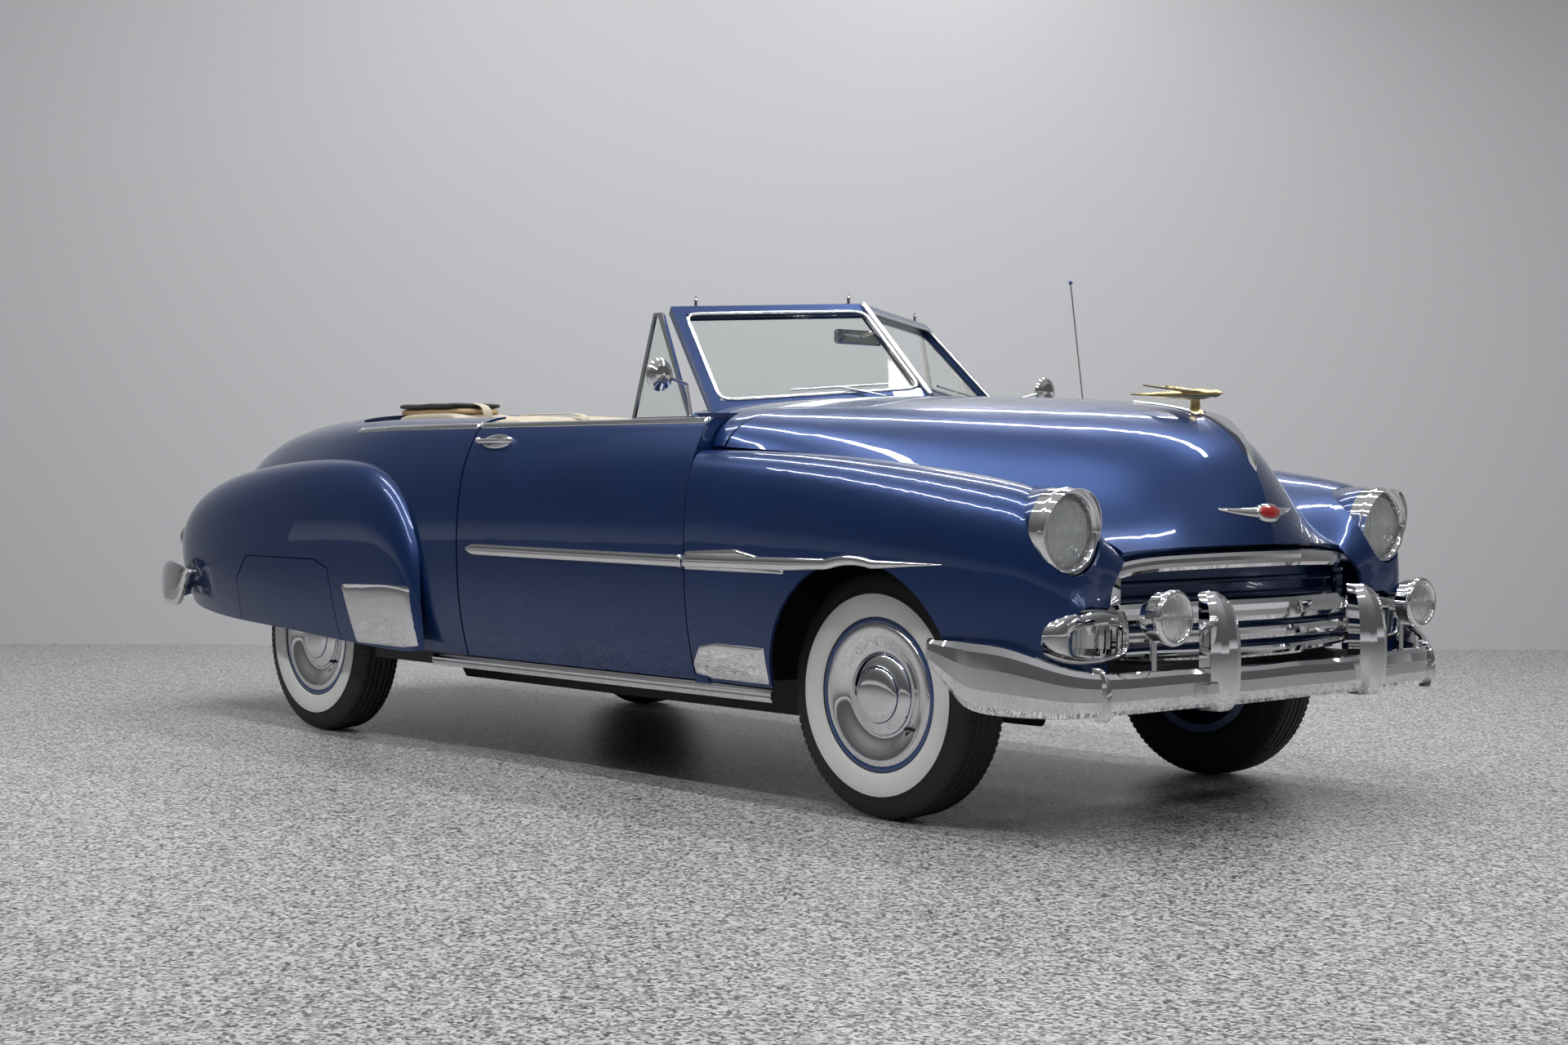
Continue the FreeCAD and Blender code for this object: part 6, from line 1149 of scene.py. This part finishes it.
# %% Mirror faces and antenna bead
mirror_face = Shader("mirror_face", Base_Color=(0.9, 0.92, 0.93), Metallic=1.0, Roughness=0.01).material
MIRROR_FACE = [(0.0, 0.046), (-0.0006, 0.030), (-0.0008, 0.0)]
BEAD_RADIUS, BEAD_HALF = 0.0078, 0.007
# Middles as (ahead of the front axle, out, up)
MIRROR, BEAD = (-0.8536, 0.8785, 1.251), (-0.688, 0.825, 1.622)
for side, way in SIDES:
    round_piece("mirror_face_" + side, "door_" + side, MIRROR_FACE, 48, on_side(MIRROR, way), mirror_face)
bead = [(BEAD_HALF * math.cos(a), BEAD_RADIUS * math.sin(a)) for a in np.linspace(0, math.pi, 12)]
round_piece("antenna_bead", "car_body", bead, 24, on_side(BEAD, 1.0), rim_blue)
print("mirrors:", len(SIDES))

# %% [markdown]
# ## Floor, wall and light
# The car stands on a grey floor with fine chips, before a pale wall. Long soft lamps overhead draw the
# bright lines on the paint and the chrome; a single sun would give one hard spot instead. The wall is clear
# from behind, so that it never hides the car.

# %% Floor and wall
WALL_AWAY, WALL_HALF, WALL_HIGH = 12.4, 14.0, 9.0
FLOOR_HALF = 40.0
floor_finish = Shader("chip_floor", Roughness=0.30)
chips = floor_finish.cells(125.0, out="Color")
chip_value = floor_finish.node("ShaderNodeSeparateColor", None, {0: chips})
fine = floor_finish.noise(420.0, 3.0)
tone = (chip_value * 0.95 + fine * 0.25).step(0.15, 0.95)
floor_finish.set(Base_Color=floor_finish.colour(tone, (0.034, 0.034, 0.037), (0.60, 0.59, 0.59)))
floor_finish.bump(fine, 0.0006)

wall_finish = Shader("pale_wall", Base_Color=(0.56, 0.565, 0.58), Roughness=0.9)
clear = wall_finish.node("ShaderNodeBsdfTransparent")
from_behind = wall_finish.node("ShaderNodeNewGeometry", out="Backfacing")
painted = Value(wall_finish, wall_finish.principled.outputs[0])
mixed = wall_finish.node("ShaderNodeMixShader", None, {0: from_behind, 1: painted, 2: clear})
wall_finish.plug(wall_finish.tree.nodes["Material Output"].inputs[0], mixed)


def flat_square(name, corners, finish):
    """One face of the stage between four corners."""
    mesh = bpy.data.meshes.new(name)
    mesh.from_pydata(corners, [], [tuple(range(len(corners)))])
    mesh.materials.append(finish)
    made = bpy.data.objects.new(name, mesh)
    bpy.context.scene.collection.objects.link(made)
    made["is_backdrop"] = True


around = ((-1.0, -1.0), (1.0, -1.0), (1.0, 1.0), (-1.0, 1.0))
flat_square("floor", [(FLOOR_HALF * x, FLOOR_HALF * y, 0.0) for x, y in around], floor_finish.material)
ahead = np.array([math.cos(CAMERA_YAW), math.sin(CAMERA_YAW), 0.0])
aside = np.array([-ahead[1], ahead[0], 0.0]) * WALL_HALF
upward = np.array([0.0, 0.0, WALL_HIGH])
foot = np.array([*CAMERA_PLACE[:2], 0.0]) + ahead * WALL_AWAY
wall_corners = [tuple(foot - aside * x + upward * (y + 1.0) / 2) for x, y in around]
flat_square("wall", wall_corners, wall_finish.material)
print("wall at", WALL_AWAY, "m from the camera")


# %% Lamps
def soft_lamp(name, place, target, width, height, power):
    """A rectangle of light of width by height metres that faces target."""
    data = bpy.data.lights.new(name, "AREA")
    data.shape, data.size, data.size_y, data.energy = "RECTANGLE", width, height, power
    lamp = bpy.data.objects.new(name, data)
    bpy.context.scene.collection.objects.link(lamp)
    back = np.array(place, float) - np.array(target, float)
    back /= np.linalg.norm(back)
    side = np.cross([1.0, 0.0, 0.0] if abs(back[2]) > 0.9 else [0.0, 0.0, 1.0], back)
    side /= np.linalg.norm(side)
    lamp.matrix_world = turned_to((side, np.cross(back, side), back), place)


# Each tube's place across the car, its height and its power
TUBES = ((-3.6, 4.8, 138.0), (-1.4, 5.2, 152.0), (1.2, 5.2, 138.0), (3.6, 5.0, 146.0))
TUBE_AHEAD, TUBE_WIDE, TUBE_LONG = 0.4, 0.14, 8.0
# A tube faces the floor at this share of its own place across
TUBE_FACES = 0.4
for index, (beside, high_up, power) in enumerate(TUBES):
    soft_lamp("tube_%d" % index, (TUBE_AHEAD, beside, high_up), (TUBE_AHEAD, beside * TUBE_FACES, 0.0),
              TUBE_WIDE, TUBE_LONG, power)
soft_lamp("front_wash", place=(9.5, -1.0, 6.0), target=(1.5, 0.0, 0.6), width=6.0, height=0.20, power=120.0)
print("lamps:", len(bpy.data.lights))

# %% [markdown]
# ## The room
# Chrome shows the room that it stands in. A plain grey world would make it look like grey paint, so this one
# is dark above the floor's edge and light towards the ceiling, which gives the chrome its dark bands.

# %% World
# Each band's height, as the upward part of the line of sight, and its light
BANDS = [(0.0, 0.42), (0.02, 0.30), (0.05, 0.07), (0.20, 0.08), (0.42, 0.14), (0.75, 0.32), (1.0, 0.38)]
ROOM_TINT = (1.0, 1.01, 1.04)
ROOM_STRENGTH = 1.18
world = bpy.data.worlds.new("room")
bpy.context.scene.world = world
world.use_nodes = True
room = NodeMaker(world.node_tree)
look = room.node("ShaderNodeTexCoord", out="Generated")
upward = room.node("ShaderNodeSeparateXYZ", None, {0: look}, out="Z")
stops = [(height, tuple(light * part for part in ROOM_TINT)) for height, light in BANDS]
background = world.node_tree.nodes["Background"]
room.plug(background.inputs[0], room.node("ShaderNodeValToRGB", {"stops": stops}, {0: upward}))
room.plug(background.inputs[1], ROOM_STRENGTH)
print("bands of light:", len(BANDS))

# %% [markdown]
# ## Finish
# The last cell prints the box of all that is shown, new pieces included, without the floor and wall.

# %% Sizes and finish
low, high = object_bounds()
print("visual box:", [round(v, 3) for v in (*low, *high)])
